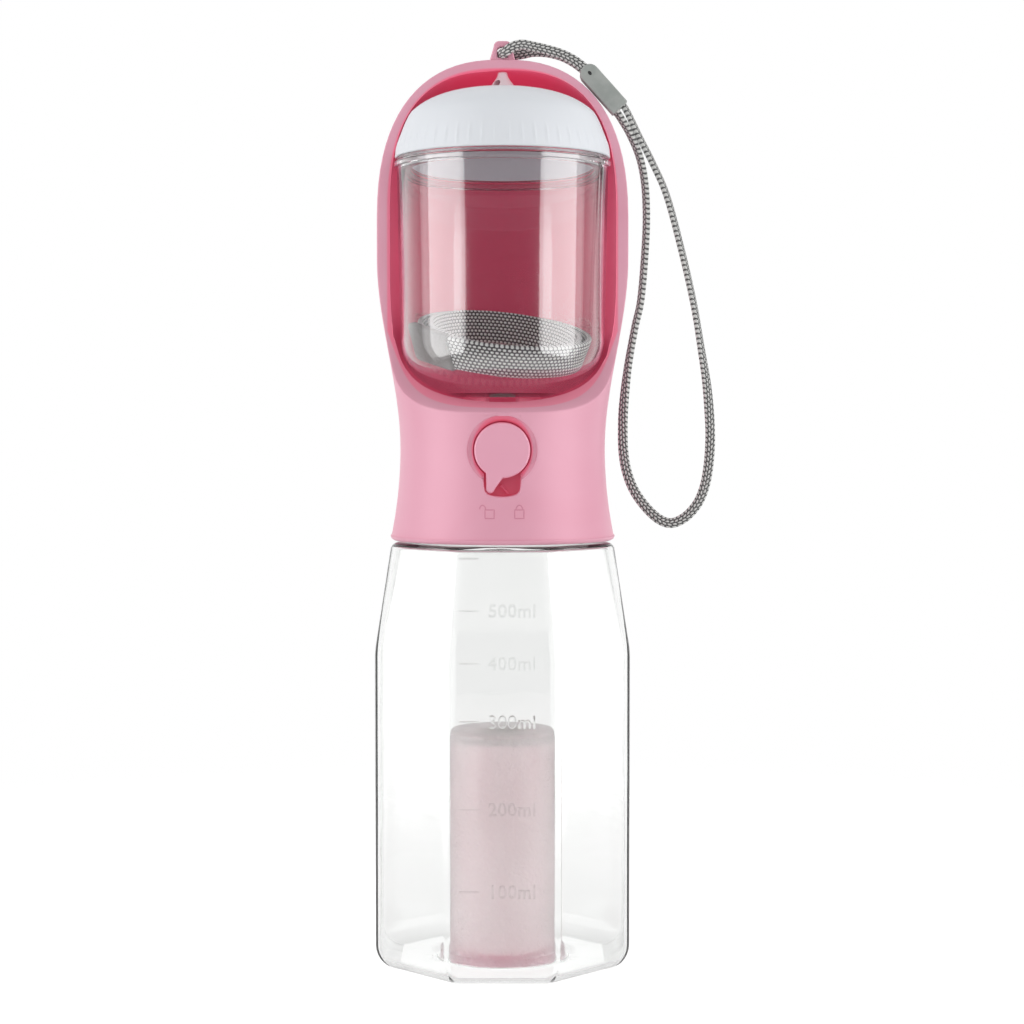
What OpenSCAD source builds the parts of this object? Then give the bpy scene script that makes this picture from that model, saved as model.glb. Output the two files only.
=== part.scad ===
// Dog travel water bottle.
// A clear octagonal bottle carries a screw-on housing whose open front is a drinking scoop.
// A push-button valve sits in the waist of the housing, a clear food cup is stored in the scoop,
// and a roll of waste bags sits in a dry chamber in the foot of the bottle.
// Millimetres, Z up, open front towards -Y, origin in the middle of the bottle's foot.

/* [Bottle] */
// Width of the bottle across two opposite flats
bottle_af = 85.6; // [82:0.2:90]
// Height at which the flats begin to lean inwards
bottle_straight_h = 108; // [96:1:118]
// Height of the shoulder under the housing
bottle_h = 144; // [138:1:156]
// How far each flat leans in at the shoulder
shoulder_lean = 4.9; // [3.5:0.1:6]
// Wall of the blown bottle
bottle_wall = 1.6; // [1.2:0.1:2.2]
// Thickness of the bottle's foot
foot_t = 2; // [1.6:0.1:3]
// Radius of the edge round the foot
foot_r = 8.5; // [6:0.5:11]
// Radius of the bottle's upright edges
corner_r = 5; // [3:0.5:8]
// Radius of those edges where they reach the shoulder
shoulder_corner_r = 15; // [10:1:20]

/* [Neck] */
// Width of the shoulder round the neck
neck_step = 6.9; // [6.5:0.1:7.5]
// Height of the neck above the shoulder
neck_h = 9.5; // [9:0.5:10]
// Wall of the neck
neck_wall = 2; // [1.6:0.1:3]
// Radial room between the neck and the collar, which the threads fill
thread_room = 0.6; // [0.4:0.1:0.9]
// Thickness of the neck gasket
gasket_t = 1.6; // [1.2:0.1:2]

/* [Bag chamber] */
// Radius of the dry chamber in the foot
chamber_r = 18.5; // [17.5:0.1:20]
// Height of the chamber
chamber_h = 78; // [74:1:86]
// Wall of the chamber
chamber_wall = 1.5; // [1.2:0.1:2]
// Thickness of the cap that closes the chamber
bag_cap_t = 3; // [2.5:0.1:4]
// How far the cap is set in from the foot
bag_cap_inset = 0.5; // [0.3:0.1:1]
// Width of the slot that the bags leave by
bag_slot_w = 5.4; // [5:0.1:7]
// Length of that slot
bag_slot_l = 22; // [18:1:26]
// Radius of the full roll of bags
roll_r = 16.5; // [14:0.1:16.9]
// Height of the roll
roll_h = 72; // [60:1:73]
// Radius of the roll's cardboard core
core_r = 8; // [6:0.5:10]
// Wall of the core
core_wall = 1; // [0.8:0.1:1.5]

/* [Housing] */
// How far the skirt stands out over the bottle's shoulder
skirt_over = 0.4; // [0.2:0.1:1]
// Distance from the neck's outside to the outside of the waist
waist_wall = 3.9; // [3.8:0.1:4.6]
// Height of the waist above the skirt's edge
waist_up = 31.5; // [30:0.5:33]
// Height of the straight belly under the dome
belly_h = 12; // [10:0.5:14]
// Height of the dome
dome_h = 55.4; // [53:0.2:58]
// Height of the housing
housing_h = 162.9; // [160:0.5:168]
// Squareness of the dome, where 2 is an ellipse
dome_n = 2.45; // [2.2:0.05:2.6]
// Wall of the belly
belly_wall = 4.1; // [3.6:0.1:4.6]
// Wall at the top of the dome
dome_wall = 3.7; // [3:0.1:4.5]
// Squareness of the inside of the dome
recess_n = 2.7; // [2.5:0.05:2.9]
// Height of the scoop's floor above the skirt's edge
scoop_floor_up = 44; // [43:0.5:45]
// Squareness of the scoop's bowl
bowl_n = 3.2; // [3:0.1:3.5]
// Y of the upright part of the rim
rim_y = -2; // [-4:0.5:0]
// Height above the skirt's edge of the lip at the front of the scoop
lip_up = 43.3; // [42.5:0.1:43.8]
// Height that the rim climbs from the lip to its upright part
lip_rise = 24.2; // [20:0.2:28]
// Squareness of that climb, where 2 is an ellipse
lip_n = 1.7; // [1.5:0.05:2]
// Gap between the skirt and the bottle's shoulder
skirt_gap = 0.5; // [0.3:0.1:0.9]

/* [Lanyard eye] */
// Width of the eye lug at its root
eye_root_w = 9.6; // [9.2:0.1:11]
// Width of the eye lug at its top
eye_top_w = 6; // [5:0.1:7]
// Height of the eye lug above the dome
eye_h = 6.4; // [6.2:0.1:7.4]
// Thickness of the eye lug
eye_t = 3.5; // [3:0.1:3.6]
// Width of the hole in the lug
eye_hole_w = 4.6; // [4.4:0.1:5]

/* [Valve] */
// Height of the button's axis above the top of the deck
button_up = 17.3; // [17.2:0.1:18.2]
// Radius of the button
button_r = 9.15; // [8.6:0.05:9.6]
// Distance from the button's axis to the centre of its pointer's round tip
pointer_reach = 13.3; // [12.8:0.1:13.6]
// Radius of the pointer's tip
pointer_tip_r = 1.4; // [1.2:0.1:1.6]
// Angle of the pointer from straight down at either end of its turn
lock_angle = 17.4; // [14:0.2:19]
// Thickness of the button's cap
button_t = 3.4; // [3:0.1:3.6]
// Travel of the button
button_travel = 4; // [3:0.1:4]
// Gap round the button
button_gap = 0.45; // [0.3:0.05:0.6]
// Width of the soft dish round the button
dish_w = 1.8; // [1.4:0.1:2.2]
// Radius of the stem
stem_r = 2.5; // [2.2:0.1:2.8]
// Radial running clearance of the stem
stem_fit = 0.05; // [0.03:0.01:0.08]
// Outer radius of the valve's barrel
barrel_r = 8; // [7.8:0.1:8.2]
// Wire of the button's spring
spring_wire = 0.9; // [0.7:0.05:1.1]
// Number of curls in the spring
spring_curls = 5; // [4:1:6]

/* [Cup] */
// Height of the cup's seat above the scoop's floor
cup_seat_h = 4.5; // [4:0.1:5]
// Wall of the cup
cup_wall = 1.6; // [1.3:0.1:2]
// Thickness of the cup's flange
flange_t = 2; // [1.5:0.1:2.5]
// How far the flange stands out from the cup
flange_w = 1; // [0.8:0.1:1.4]
// Gap between the cup's flange and the recess
cup_gap = 0.45; // [0.35:0.05:0.8]
// Draft of the cup, which is narrower below
cup_draft = 1; // [0.6:0.1:1.4]
// Height of the cup's rounded foot
cup_bowl_h = 22; // [21:0.5:23]
// Squareness of the cup's rounded foot
cup_bowl_n = 2.3; // [2.1:0.05:2.4]

/* [Lid] */
// Room above the lid's dome, which its loop stands in
lid_headroom = 6; // [5.6:0.1:7]
// Height of the lid's dome
lid_h = 23.7; // [22:0.1:24]
// Wall of the lid
lid_wall = 1.8; // [1.4:0.1:2.2]
// Squareness of the lid's dome
lid_n = 2.55; // [2.3:0.05:2.6]
// Number of grip ribs round the lid
lid_ribs = 52; // [40:2:60]
// How far a grip rib stands out
lid_rib_t = 0.35; // [0.25:0.05:0.5]
// Height of the ribbed band
lid_rib_h = 7; // [5:0.5:9]
// Thickness of the lid's gasket
lid_gasket_t = 1.4; // [1:0.1:1.8]
// Depth of the seal's collar that plugs the cup
lid_plug_h = 2; // [1.5:0.5:4]

/* [Strap in the cup] */
// Width of the webbing
strap_w = 11; // [9:0.5:11.5]
// Thickness of the webbing
strap_t = 2; // [1.4:0.1:2.2]
// Number of turns that are wound up
strap_turns = 2.1; // [1.5:0.1:2.5]
// Length of the rubber tip
strap_tip_l = 21; // [17:0.5:23]

/* [Lanyard] */
// Diameter of the lanyard's cord
cord_d = 2.8; // [2.4:0.1:3]
// Length of the lanyard's sleeve
sleeve_l = 18.8; // [16:0.1:20]
// Width of the sleeve
sleeve_w = 6.4; // [6:0.1:7]
// Thickness of the sleeve
sleeve_t = 6.4; // [6.2:0.1:7]

/* [Hidden] */

$fn = 96;
over = 1;                 // how far a cut reaches past the surface that it opens
seat = 0.3;               // gap left between a loose piece and its seat
snug = 0.05;              // radial gap between two pieces that are pressed together

// Widths of the bottle and the housing
shoulder_af = bottle_af - 2 * shoulder_lean;
neck_r = shoulder_af / 2 - neck_step;
skirt_r = shoulder_af / 2 + skirt_over;
waist_r = neck_r + waist_wall;
belly_r = bottle_af / 2;               // the housing is as wide as the bottle

// Heights of the bottle
z_neck = bottle_h + neck_h;
z_deck = z_neck + gasket_t;
neck_in_r = neck_r - neck_wall;
shoulder_round = 2.5;

// Heights of the housing
z_skirt = bottle_h + skirt_gap;
z_waist = z_skirt + waist_up;
z_top = z_skirt + housing_h;
z_dome = z_top - dome_h;
z_belly = z_dome - belly_h;
z_floor = z_skirt + scoop_floor_up;
z_lip = z_skirt + lip_up;
z_rim = z_lip + lip_rise;
z_recess_dome = z_dome + 2;
z_recess_top = z_top - dome_wall;
recess_r = belly_r - belly_wall;
lip_back = 34;            // distance from the front of the lip back to the upright rim

// Collar and deck inside the waist
deck_t = 3;
z_ledge = z_deck + deck_t;
collar_in_r = neck_r + thread_room;
collar_r = waist_r - 1.3;
hollow_r = collar_r - 2;
roof_t = 3;
z_roof = z_floor - roof_t;

// Button and valve, all on one axis along Y
z_button = z_ledge + button_up;
y_face = -waist_r + 0.5;              // outer face of the button
y_cap_back = y_face + button_t;       // back of the button's cap
y_pointer_back = y_face + 0.5 * button_t;
y_well = y_cap_back + button_travel + seat;
well_wall = 1.6;
y_barrel = y_well + well_wall;        // front end of the valve's barrel
spring_r = stem_r + 2.1;              // middle of the spring's wire
spring_room_r = spring_r + spring_wire / 2 + 0.6;
y_gland = y_barrel + 9.5;             // back of the spring's room
gland_t = 3;
y_ring = y_gland + gland_t;
ring_t = 2;                           // thickness of the stem's sealing ring
ring_r = stem_r + 1.7;
y_outlet = y_ring + ring_t + 0.1;     // front of the outlet room
outlet_room = 7.5;
y_seat = y_outlet + outlet_room;      // front of the wall that the seal closes
seat_t = 2;
y_inlet = y_seat + seat_t;            // front of the inlet room
inlet_room = 13;
y_tail = y_inlet + inlet_room;
room_r = barrel_r - 1.8;
port_r = 3.2;                         // opening that the seal closes
rod_r = 1.5;                          // thin end of the stem
seal_r = 4.8;
seal_t = 2.4;
clip_t = 0.8;
y_spout = y_outlet + outlet_room / 2; // axis of the way up to the scoop
spout_r = 4.2;
spout_wall = 1.6;
spout_bore_r = spout_r - 1.1;          // bore of the way up
nozzle_bore_r = spout_r - 1.5;
spout_lip_t = 1.2;
spout_lip_r = 6;                      // lip of the nozzle, which sits on the scoop's floor
y_drop = y_inlet + inlet_room / 2 + 1.5; // axis of the way down to the bottle
drop_r = 5;
drop_wall = 1.4;
ear_x = 12.5;                         // screws that hold the valve's body to the deck
ear_r = 3.6;
ear_t = 3;
screw_r = 1.4;
screw_gap = 0.2;
screw_l = 5;
screw_head_r = 2.8;
screw_head_h = 1.8;
tail_t = 2.4;

// Cup and lid
z_cup = z_floor + cup_seat_h;
z_lid_top = z_recess_top - lid_headroom;
z_lid = z_lid_top - lid_h;
z_flange = z_lid - lid_gasket_t;
flange_r = recess_r_at(z_lid) - cup_gap;
cup_r = flange_r - flange_w;
cup_low_r = cup_r - cup_draft;
z_cup_bowl = z_cup + cup_bowl_h - 1.5;
lid_r = flange_r - 0.1;
lid_plug_r = cup_r - cup_wall - 0.3;
z_lug_top = z_recess_top - seat;
lug_root_r = 4.7;
lug_top_r = 1.7;
lug_turn = 35;            // how far the lid's loop is turned from the front
pad_r = 12;               // ring of three pads that the cup stands on
pad_w = 3;
pad_arc = 70;

// Strap wound in the cup
strap_start = -145;       // angle of the webbing's outer end
strap_high = 112;         // side on which the winding leans highest
strap_up = 18.6;
strap_z = z_cup + strap_up;
strap_tilt = 7;
strap_room = 5.4;         // from the cup's outside to the middle of the winding
strap_r = cup_low_r - strap_room;
strap_edge = 0.5;
strap_shift = 1.6;
strap_pitch = 3.4;
strap_lean = 16;
strap_lean_swing = 14;
strap_rings = 24;         // rings of the tube for each turn
tip_wall = 0.7;

// Route of the lanyard in its own upright plane, as [x, height above the skirt's edge]
y_eye = 0.75;
loop_route = [
    [39.8, 149.2], [41.2, 147.6], [43.0, 144.4], [46.4, 137.4], [51.2, 128.0], [56.0, 117.0], [61.0, 98.8],
    [65.2, 80.6], [68.0, 64.2], [69.8, 52.8], [70.8, 41.6], [71.0, 33.2], [70.4, 24.8],
    [69.0, 17.6], [66.4, 11.8], [62.2, 7.4], [57.6, 5.6], [53.2, 7.2], [48.6, 11.6],
    [44.8, 17.2], [42.4, 23.6], [41.3, 30.4], [41.1, 38.8], [41.5, 47.2], [42.9, 59.6],
    [45.2, 72.6], [47.2, 82.0], [48.6, 98.8], [49.0, 110.6], [48.4, 121.6], [46.6, 130.4],
    [43.4, 138.0], [40.6, 142.8], [38.8, 145.5], [37.5, 147.0]
];
// Route of the doubled stretch, from the sleeve to the eye, round its right leg and back
hitch_route = [
    [28.4, -1.7, 159.6], [24.4, -1.7, 162.6], [20.0, -1.7, 164.8], [15.0, -1.7, 166.3],
    [10.4, -2.0, 167.0], [6.6, -3.0, 166.9], [3.4, -3.9, 166.2], [1.0, -3.4, 165.4],
    [-0.2, -1.8, 164.9], [-0.4, 0.0, 164.8], [-0.2, 1.8, 164.9], [1.0, 3.4, 165.4],
    [3.4, 3.9, 166.2], [6.6, 3.0, 166.9], [10.4, 2.0, 167.0], [15.0, 1.7, 166.3],
    [20.0, 1.7, 164.8], [24.4, 1.7, 162.6], [28.4, 1.7, 159.6]
];
sleeve_top = [27.4, 160.6];   // middle of the sleeve's upper end
sleeve_dir = -48;             // its slope, in degrees
cord_sides = 8;

// ---------- curves ----------
function smooth(t) = t * t * (3 - 2 * t);
function super_r(u, n) = pow(max(0, 1 - pow(u, n)), 1 / n);
function super_arc(r, h, n, steps, from = 0, to = 90) =
    [for (i = [0 : steps]) let (t = from + (to - from) * i / steps)
        [r * pow(max(0, cos(t)), 2 / n), h * pow(max(0, sin(t)), 2 / n)]];
function shift(points, z, sign = 1) = [for (p = points) [p[0], z + sign * p[1]]];
function turned(list) = [for (i = [len(list) - 1 : -1 : 0]) list[i]];

function waist_r_at(z) = waist_r + (skirt_r - waist_r) * pow((z_waist - z) / waist_up, 2);
function flank_r_at(z) = waist_r + (belly_r - waist_r) * smooth((z - z_waist) / (z_belly - z_waist));
function recess_r_at(z) = recess_r
    * super_r((z - z_recess_dome) / (z_recess_top - z_recess_dome), recess_n);
function cup_bowl_r_at(z) = cup_low_r * super_r((z_cup_bowl - z) / cup_bowl_h, cup_bowl_n);

// Distance of a straight cut through an octagon's rounded corner from its middle
function octagon_ring(af, r, z, steps = 4) = [
    for (side = [0 : 7], i = [0 : steps])
        let (
            mid = 22.5 + 45 * side,
            round_r = min(r, af / 2 * 0.97),
            reach = (af / 2 - round_r) / cos(22.5),
            a = mid - 22.5 + 45 * i / steps
        )
        [reach * cos(mid) + round_r * cos(a), reach * sin(mid) + round_r * sin(a), z]
];

// ---------- swept and lofted solids ----------
// A closed solid through a list of rings that all have the same number of points
module loft(rings) {
    n = len(rings[0]);
    last = len(rings) - 1;
    sides = [
        for (k = [0 : last - 1], i = [0 : n - 1])
            let (a = k * n + i, b = k * n + (i + 1) % n)
            each [[a, b + n, b], [a, a + n, b + n]]
    ];
    polyhedron(
        points = [for (ring = rings) each ring],
        faces = concat(
            [[for (i = [0 : n - 1]) i]],
            sides,
            [[for (i = [n - 1 : -1 : 0]) last * n + i]]
        ),
        convexity = 8
    );
}

function unit(v) = v / norm(v);
function tangent(path, i) =
    unit(path[min(i + 1, len(path) - 1)] - path[max(i - 1, 0)]);
// Points of one curve through a, b, c and d, between b and c
function curve_point(a, b, c, d, t) = 0.5 * (
    2 * b + (c - a) * t + (2 * a - 5 * b + 4 * c - d) * t * t + (3 * b - a - 3 * c + d) * t * t * t
);
function smooth_path(route, steps) = [
    for (i = [0 : len(route) - 2], k = [0 : steps - 1])
        curve_point(
            route[max(i - 1, 0)], route[i], route[i + 1], route[min(i + 2, len(route) - 1)], k / steps
        ),
    route[len(route) - 1]
];
// Rings of a round tube along a path, with one of its directions held to the given normal
function tube_rings(path, r, sides, normal) = [
    for (i = [0 : len(path) - 1])
        let (
            t = tangent(path, i),
            side = unit(cross(t, normal)),
            up = cross(t, side)
        )
        [for (k = [0 : sides - 1]) let (a = 360 * k / sides) path[i] + r * cos(a) * side + r * sin(a) * up]
];

// ---------- bottle ----------
function foot_rings(inset, z0) = [
    for (i = [0 : 3])
        let (t = 90 * i / 4, draw = foot_r * (1 - sin(t)))
        octagon_ring(
            bottle_af - 2 * inset - 2 * draw, max(1.2, corner_r - inset - draw), z0 + foot_r * (1 - cos(t))
        )
];
function shoulder_rings(inset) = [
    for (i = [0 : 3])
        let (t = 90 * i / 3, draw = shoulder_round * (1 - cos(t)))
        octagon_ring(
            shoulder_af - 2 * inset - 2 * draw,
            shoulder_corner_r - inset,
            bottle_h - inset - shoulder_round * (1 - sin(t))
        )
];
module bottle_shape(inset, z0) {
    loft(concat(
        foot_rings(inset, z0),
        [octagon_ring(bottle_af - 2 * inset, corner_r - inset, z0 + foot_r)],
        [octagon_ring(bottle_af - 2 * inset, corner_r - inset, bottle_straight_h)],
        shoulder_rings(inset)
    ));
}

groove_h = 1.6;           // groove that the cap's lugs turn in
groove_d = 1.2;
z_groove = bag_cap_inset + 1;
lug_w = 6;
lug_gap = 0.2;
module chamber_way_in() {
    translate([0, 0, -over]) cylinder(r = chamber_r, h = chamber_h + over);
    translate([0, 0, z_groove]) cylinder(r = chamber_r + groove_d, h = groove_h);
    for (a = [0, 180])
        rotate([0, 0, a]) translate([0, -lug_w / 2 - 0.4, -over])
            cube([chamber_r + groove_d - 0.1, lug_w + 0.8, over + z_groove + 0.5]);
}
root_r = chamber_r + groove_d + chamber_wall;   // thick ring of the chamber, welded into the foot
module bottle() {
    color("white", 0.45)
    difference() {
        union() {
            bottle_shape(0, 0);
            translate([0, 0, bottle_h - bottle_wall])
                cylinder(r = neck_r, h = neck_h + bottle_wall);
        }
        bottle_shape(bottle_wall, foot_t);
        translate([0, 0, bottle_h - 2 * bottle_wall])
            cylinder(r = neck_in_r, h = neck_h + 2 * bottle_wall + over);
        translate([0, 0, -over]) cylinder(r = root_r + snug, h = foot_t + 2 * over);
    }
}
// Closed sleeve that keeps the bags dry
module bag_chamber() {
    color("white", 0.6)
    difference() {
        union() {
            cylinder(r = chamber_r + chamber_wall, h = chamber_h + chamber_wall);
            cylinder(r = root_r, h = z_groove + groove_h + 1);
        }
        chamber_way_in();
    }
}

module bag_cap() {
    cap_r = chamber_r - 0.15;
    color("pink")
    difference() {
        union() {
            translate([0, 0, bag_cap_inset]) cylinder(r = cap_r, h = bag_cap_t);
            // two lugs that lock under the chamber's groove, a quarter turn from their way in
            intersection() {
                translate([0, 0, z_groove + lug_gap])
                    cylinder(r = chamber_r + groove_d - lug_gap, h = groove_h - 2 * lug_gap);
                translate([-lug_w / 2, -2 * chamber_r, z_groove + lug_gap])
                    cube([lug_w, 4 * chamber_r, groove_h - 2 * lug_gap]);
            }
        }
        // slot with round ends that the bags leave by
        translate([0, 0, -over]) linear_extrude(bag_cap_inset + bag_cap_t + 2 * over) {
            square([bag_slot_l - bag_slot_w, bag_slot_w], center = true);
            for (side = [-1, 1])
                translate([side * (bag_slot_l - bag_slot_w) / 2, 0]) circle(d = bag_slot_w);
        }
    }
}

z_roll = bag_cap_inset + bag_cap_t + seat;
module bag_roll() {
    color("pink")
    translate([0, 0, z_roll]) difference() {
        cylinder(r = roll_r, h = roll_h);
        translate([0, 0, -over]) cylinder(r = core_r + snug, h = roll_h + 2 * over);
    }
}
module roll_core() {
    color("burlywood")
    translate([0, 0, z_roll]) difference() {
        cylinder(r = core_r, h = roll_h);
        translate([0, 0, -over]) cylinder(r = core_r - core_wall, h = roll_h + 2 * over);
    }
}

// ---------- neck ----------
module neck_gasket() {
    color("whitesmoke")
    translate([0, 0, z_neck]) difference() {
        cylinder(r = neck_r - 0.2, h = gasket_t);
        translate([0, 0, -over]) cylinder(r = neck_in_r + 0.2, h = gasket_t + 2 * over);
    }
}
// Threaded collar with the deck that closes the bottle and carries the valve
module thread_collar() {
    color("white")
    difference() {
        translate([0, 0, z_skirt + 0.5]) cylinder(r = collar_r, h = z_ledge - z_skirt - 0.5 - snug);
        translate([0, 0, z_skirt - over]) cylinder(r = collar_in_r, h = z_deck - z_skirt + over);
        translate([0, y_drop, z_deck - over])
            cylinder(r = drop_r + snug, h = deck_t + 2 * over, $fn = 48);
        for (side = [-1, 1])
            translate([side * ear_x, y_drop, z_deck + 0.4]) cylinder(r = screw_r, h = deck_t, $fn = 24);
    }
}

// ---------- housing ----------
module housing_body() {
    rotate_extrude() polygon(concat(
        [[0, z_skirt]],
        [for (i = [0 : 6]) let (z = z_skirt + waist_up * i / 6) [waist_r_at(z), z]],
        [for (i = [1 : 10]) let (z = z_waist + (z_belly - z_waist) * i / 10) [flank_r_at(z), z]],
        shift(super_arc(belly_r, z_top - z_dome, dome_n, 14), z_dome)
    ));
}
module recess() {
    rotate_extrude() polygon(concat(
        turned(shift(super_arc(recess_r, z_belly - z_floor, bowl_n, 12), z_belly, -1)),
        shift(super_arc(recess_r, z_recess_top - z_recess_dome, recess_n, 12), z_recess_dome)
    ));
}
// Everything in front of the scoop's rim
module rim_cut() {
    far = 2 * belly_r;
    y_lip = rim_y - lip_back;
    curve = [for (p = super_arc(lip_back, lip_rise, lip_n, 10)) [y_lip + p[0], z_rim - p[1]]];
    rotate([90, 0, 90]) translate([0, 0, -far]) linear_extrude(2 * far) polygon(concat(
        [[-far, z_lip]],
        turned(curve),
        [[rim_y, z_top + 20], [-far, z_top + 20]]
    ));
}
// Outline of the button's well, seen from the front
module well_outline(grow = 0) {
    circle(r = button_r + button_gap + grow);
    intersection() {
        circle(r = pointer_reach + pointer_tip_r + button_gap + grow);
        translate([-slot_half - grow, -2 * button_r]) square([2 * (slot_half + grow), 2 * button_r]);
    }
}
slot_half = pointer_reach * sin(lock_angle) + pointer_tip_r + button_gap + 0.2;
// Turns a shape drawn as seen from the front and gives it depth from y0 to y1
module front_extrude(y0, y1) {
    translate([0, y1, z_button]) rotate([90, 0, 0]) linear_extrude(y1 - y0) children();
}
// A cylinder or cone along the button's axis
module along(y0, y1, r, r_far = -1) {
    translate([0, y0, z_button]) rotate([-90, 0, 0])
        cylinder(r1 = r, r2 = r_far < 0 ? r : r_far, h = y1 - y0);
}
module eye_lug() {
    root = z_top - 2;
    round_r = 1.6;
    translate([0, y_eye + eye_t / 2, 0]) rotate([90, 0, 0]) linear_extrude(eye_t) difference() {
        union() {
            polygon([
                [-eye_root_w / 2, root], [eye_root_w / 2, root],
                [eye_root_w / 2, z_top + 1], [eye_top_w / 2 - 0.1, z_top + eye_h - round_r],
                [-eye_top_w / 2 + 0.1, z_top + eye_h - round_r], [-eye_root_w / 2, z_top + 1]
            ]);
            translate([-eye_top_w / 2 + round_r, z_top + 1]) square([eye_top_w - 2 * round_r, eye_h - 1]);
            for (side = [-1, 1])
                translate([side * (eye_top_w / 2 - round_r), z_top + eye_h - round_r])
                    circle(r = round_r, $fn = 32);
        }
        translate([0, z_top + eye_hole_w / 2 - 0.1]) circle(d = eye_hole_w, $fn = 32);
        translate([-eye_hole_w / 2, z_top - 0.1]) square([eye_hole_w, eye_hole_w / 2]);
    }
}
module cup_pads() {
    for (k = [0 : 2])
        rotate([0, 0, 90 + 120 * k - pad_arc / 2]) rotate_extrude(angle = pad_arc)
            translate([pad_r - pad_w / 2, z_floor - 1]) square([pad_w, cup_seat_h + 1 - seat]);
}
// Low rib across the floor of the pointer's slot
module stop_rib() {
    rib_w = 0.9;
    rib_l = 4;
    rib_h = y_well - y_pointer_back - button_travel - 0.6;
    translate([0.8, y_well, z_button - pointer_reach + 0.3]) rotate([0, -41, 0])
        translate([-rib_w / 2, -rib_h, -rib_l / 2]) cube([rib_w, rib_h + over, rib_l]);
}
module housing() {
    color("lightpink")
    difference() {
        union() {
            difference() {
                housing_body();
                recess();
                translate([0, 0, z_skirt - over])
                    cylinder(r = collar_r + snug, h = z_ledge - z_skirt + over);
                difference() {
                    translate([0, 0, z_ledge - over]) cylinder(r = hollow_r, h = z_roof - z_ledge + over);
                    front_extrude(-waist_r, y_barrel) well_outline(well_wall);
                }
                rim_cut();
                front_extrude(-belly_r, y_well) well_outline();
                along(-belly_r, y_face + 0.7, button_r + button_gap + dish_w);
                along(y_face + 0.7, y_face + 2.2, button_r + button_gap + dish_w, button_r + button_gap);
            }
            eye_lug();
            cup_pads();
            stop_rib();
        }
        along(y_well - 0.1, y_barrel + over, spring_room_r);
        translate([0, y_spout, z_roof - over]) cylinder(r = spout_r + 0.1, h = roof_t + 2 * over, $fn = 48);
        translate([0, y_spout, z_floor]) cylinder(r = spout_lip_r + seat, h = cup_seat_h, $fn = 48);
    }
}

// ---------- valve ----------
module valve_body() {
    z_foot = z_ledge;
    color("white")
    difference() {
        union() {
            along(y_barrel, y_tail, barrel_r);
            translate([0, y_spout, z_button])
                cylinder(r = spout_r + spout_wall, h = z_roof - z_button - snug, $fn = 48);
            translate([0, y_drop, z_deck]) cylinder(r = drop_r, h = z_button - z_deck, $fn = 48);
            for (side = [-1, 1]) {
                translate([side * ear_x, y_drop, z_foot]) cylinder(r = ear_r, h = ear_t, $fn = 32);
                translate([side * ear_x / 2, y_drop, z_foot + ear_t / 2])
                    cube([ear_x, 2 * ear_r - 1, ear_t], center = true);
            }
        }
        along(y_barrel - over, y_gland, spring_room_r);
        along(y_gland - over, y_ring + over, stem_r + stem_fit);
        along(y_ring, y_outlet, ring_r + snug);
        along(y_outlet - snug, y_seat, room_r);
        along(y_seat - over, y_inlet + over, port_r);
        along(y_inlet, y_tail + over, room_r);
        translate([0, y_spout, z_button]) cylinder(r = spout_bore_r, h = z_roof, $fn = 48);
        translate([0, y_spout, z_button + room_r]) cylinder(r = spout_r + snug, h = z_roof, $fn = 48);
        translate([0, y_drop, z_deck - over])
            cylinder(r = drop_r - drop_wall, h = z_button - z_deck, $fn = 48);
        for (side = [-1, 1])
            translate([side * ear_x, y_drop, z_foot - over])
                cylinder(r = screw_r + screw_gap, h = ear_t + 2 * over, $fn = 24);
    }
}
module valve_end_cap() {
    color("white")
    union() {
        along(y_tail, y_tail + tail_t, barrel_r);
        along(y_tail - 3, y_tail, room_r - snug);
    }
}
module valve_screws() {
    color("silver")
    for (side = [-1, 1])
        translate([side * ear_x, y_drop, z_ledge + ear_t]) {
            cylinder(r = screw_head_r, h = screw_head_h, $fn = 32);
            translate([0, 0, -screw_l]) cylinder(r = screw_r - snug, h = screw_l, $fn = 24);
        }
}
module outlet_nozzle() {
    nozzle_low = z_button + room_r + 0.4;
    color("whitesmoke")
    translate([0, y_spout, 0]) difference() {
        union() {
            translate([0, 0, nozzle_low])
                cylinder(r = spout_r - snug, h = z_floor - nozzle_low + 0.5, $fn = 48);
            translate([0, 0, z_floor + 0.1]) cylinder(r = spout_lip_r, h = spout_lip_t, $fn = 48);
        }
        translate([0, 0, nozzle_low - over]) cylinder(r = nozzle_bore_r, h = z_floor, $fn = 48);
    }
}
module stem_o_ring() {
    color("dimgray")
    difference() {
        along(y_ring + 0.1, y_ring + ring_t, ring_r);
        along(y_ring - over, y_ring + ring_t + over, stem_r + stem_fit);
    }
}
y_washer = y_cap_back + 0.2;
washer_t = 0.8;
module spring_washer() {
    color("silver")
    difference() {
        along(y_washer, y_washer + washer_t, spring_r + spring_wire / 2 + 0.3);
        along(y_washer - over, y_washer + washer_t + over, stem_r + snug);
    }
}
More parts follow.
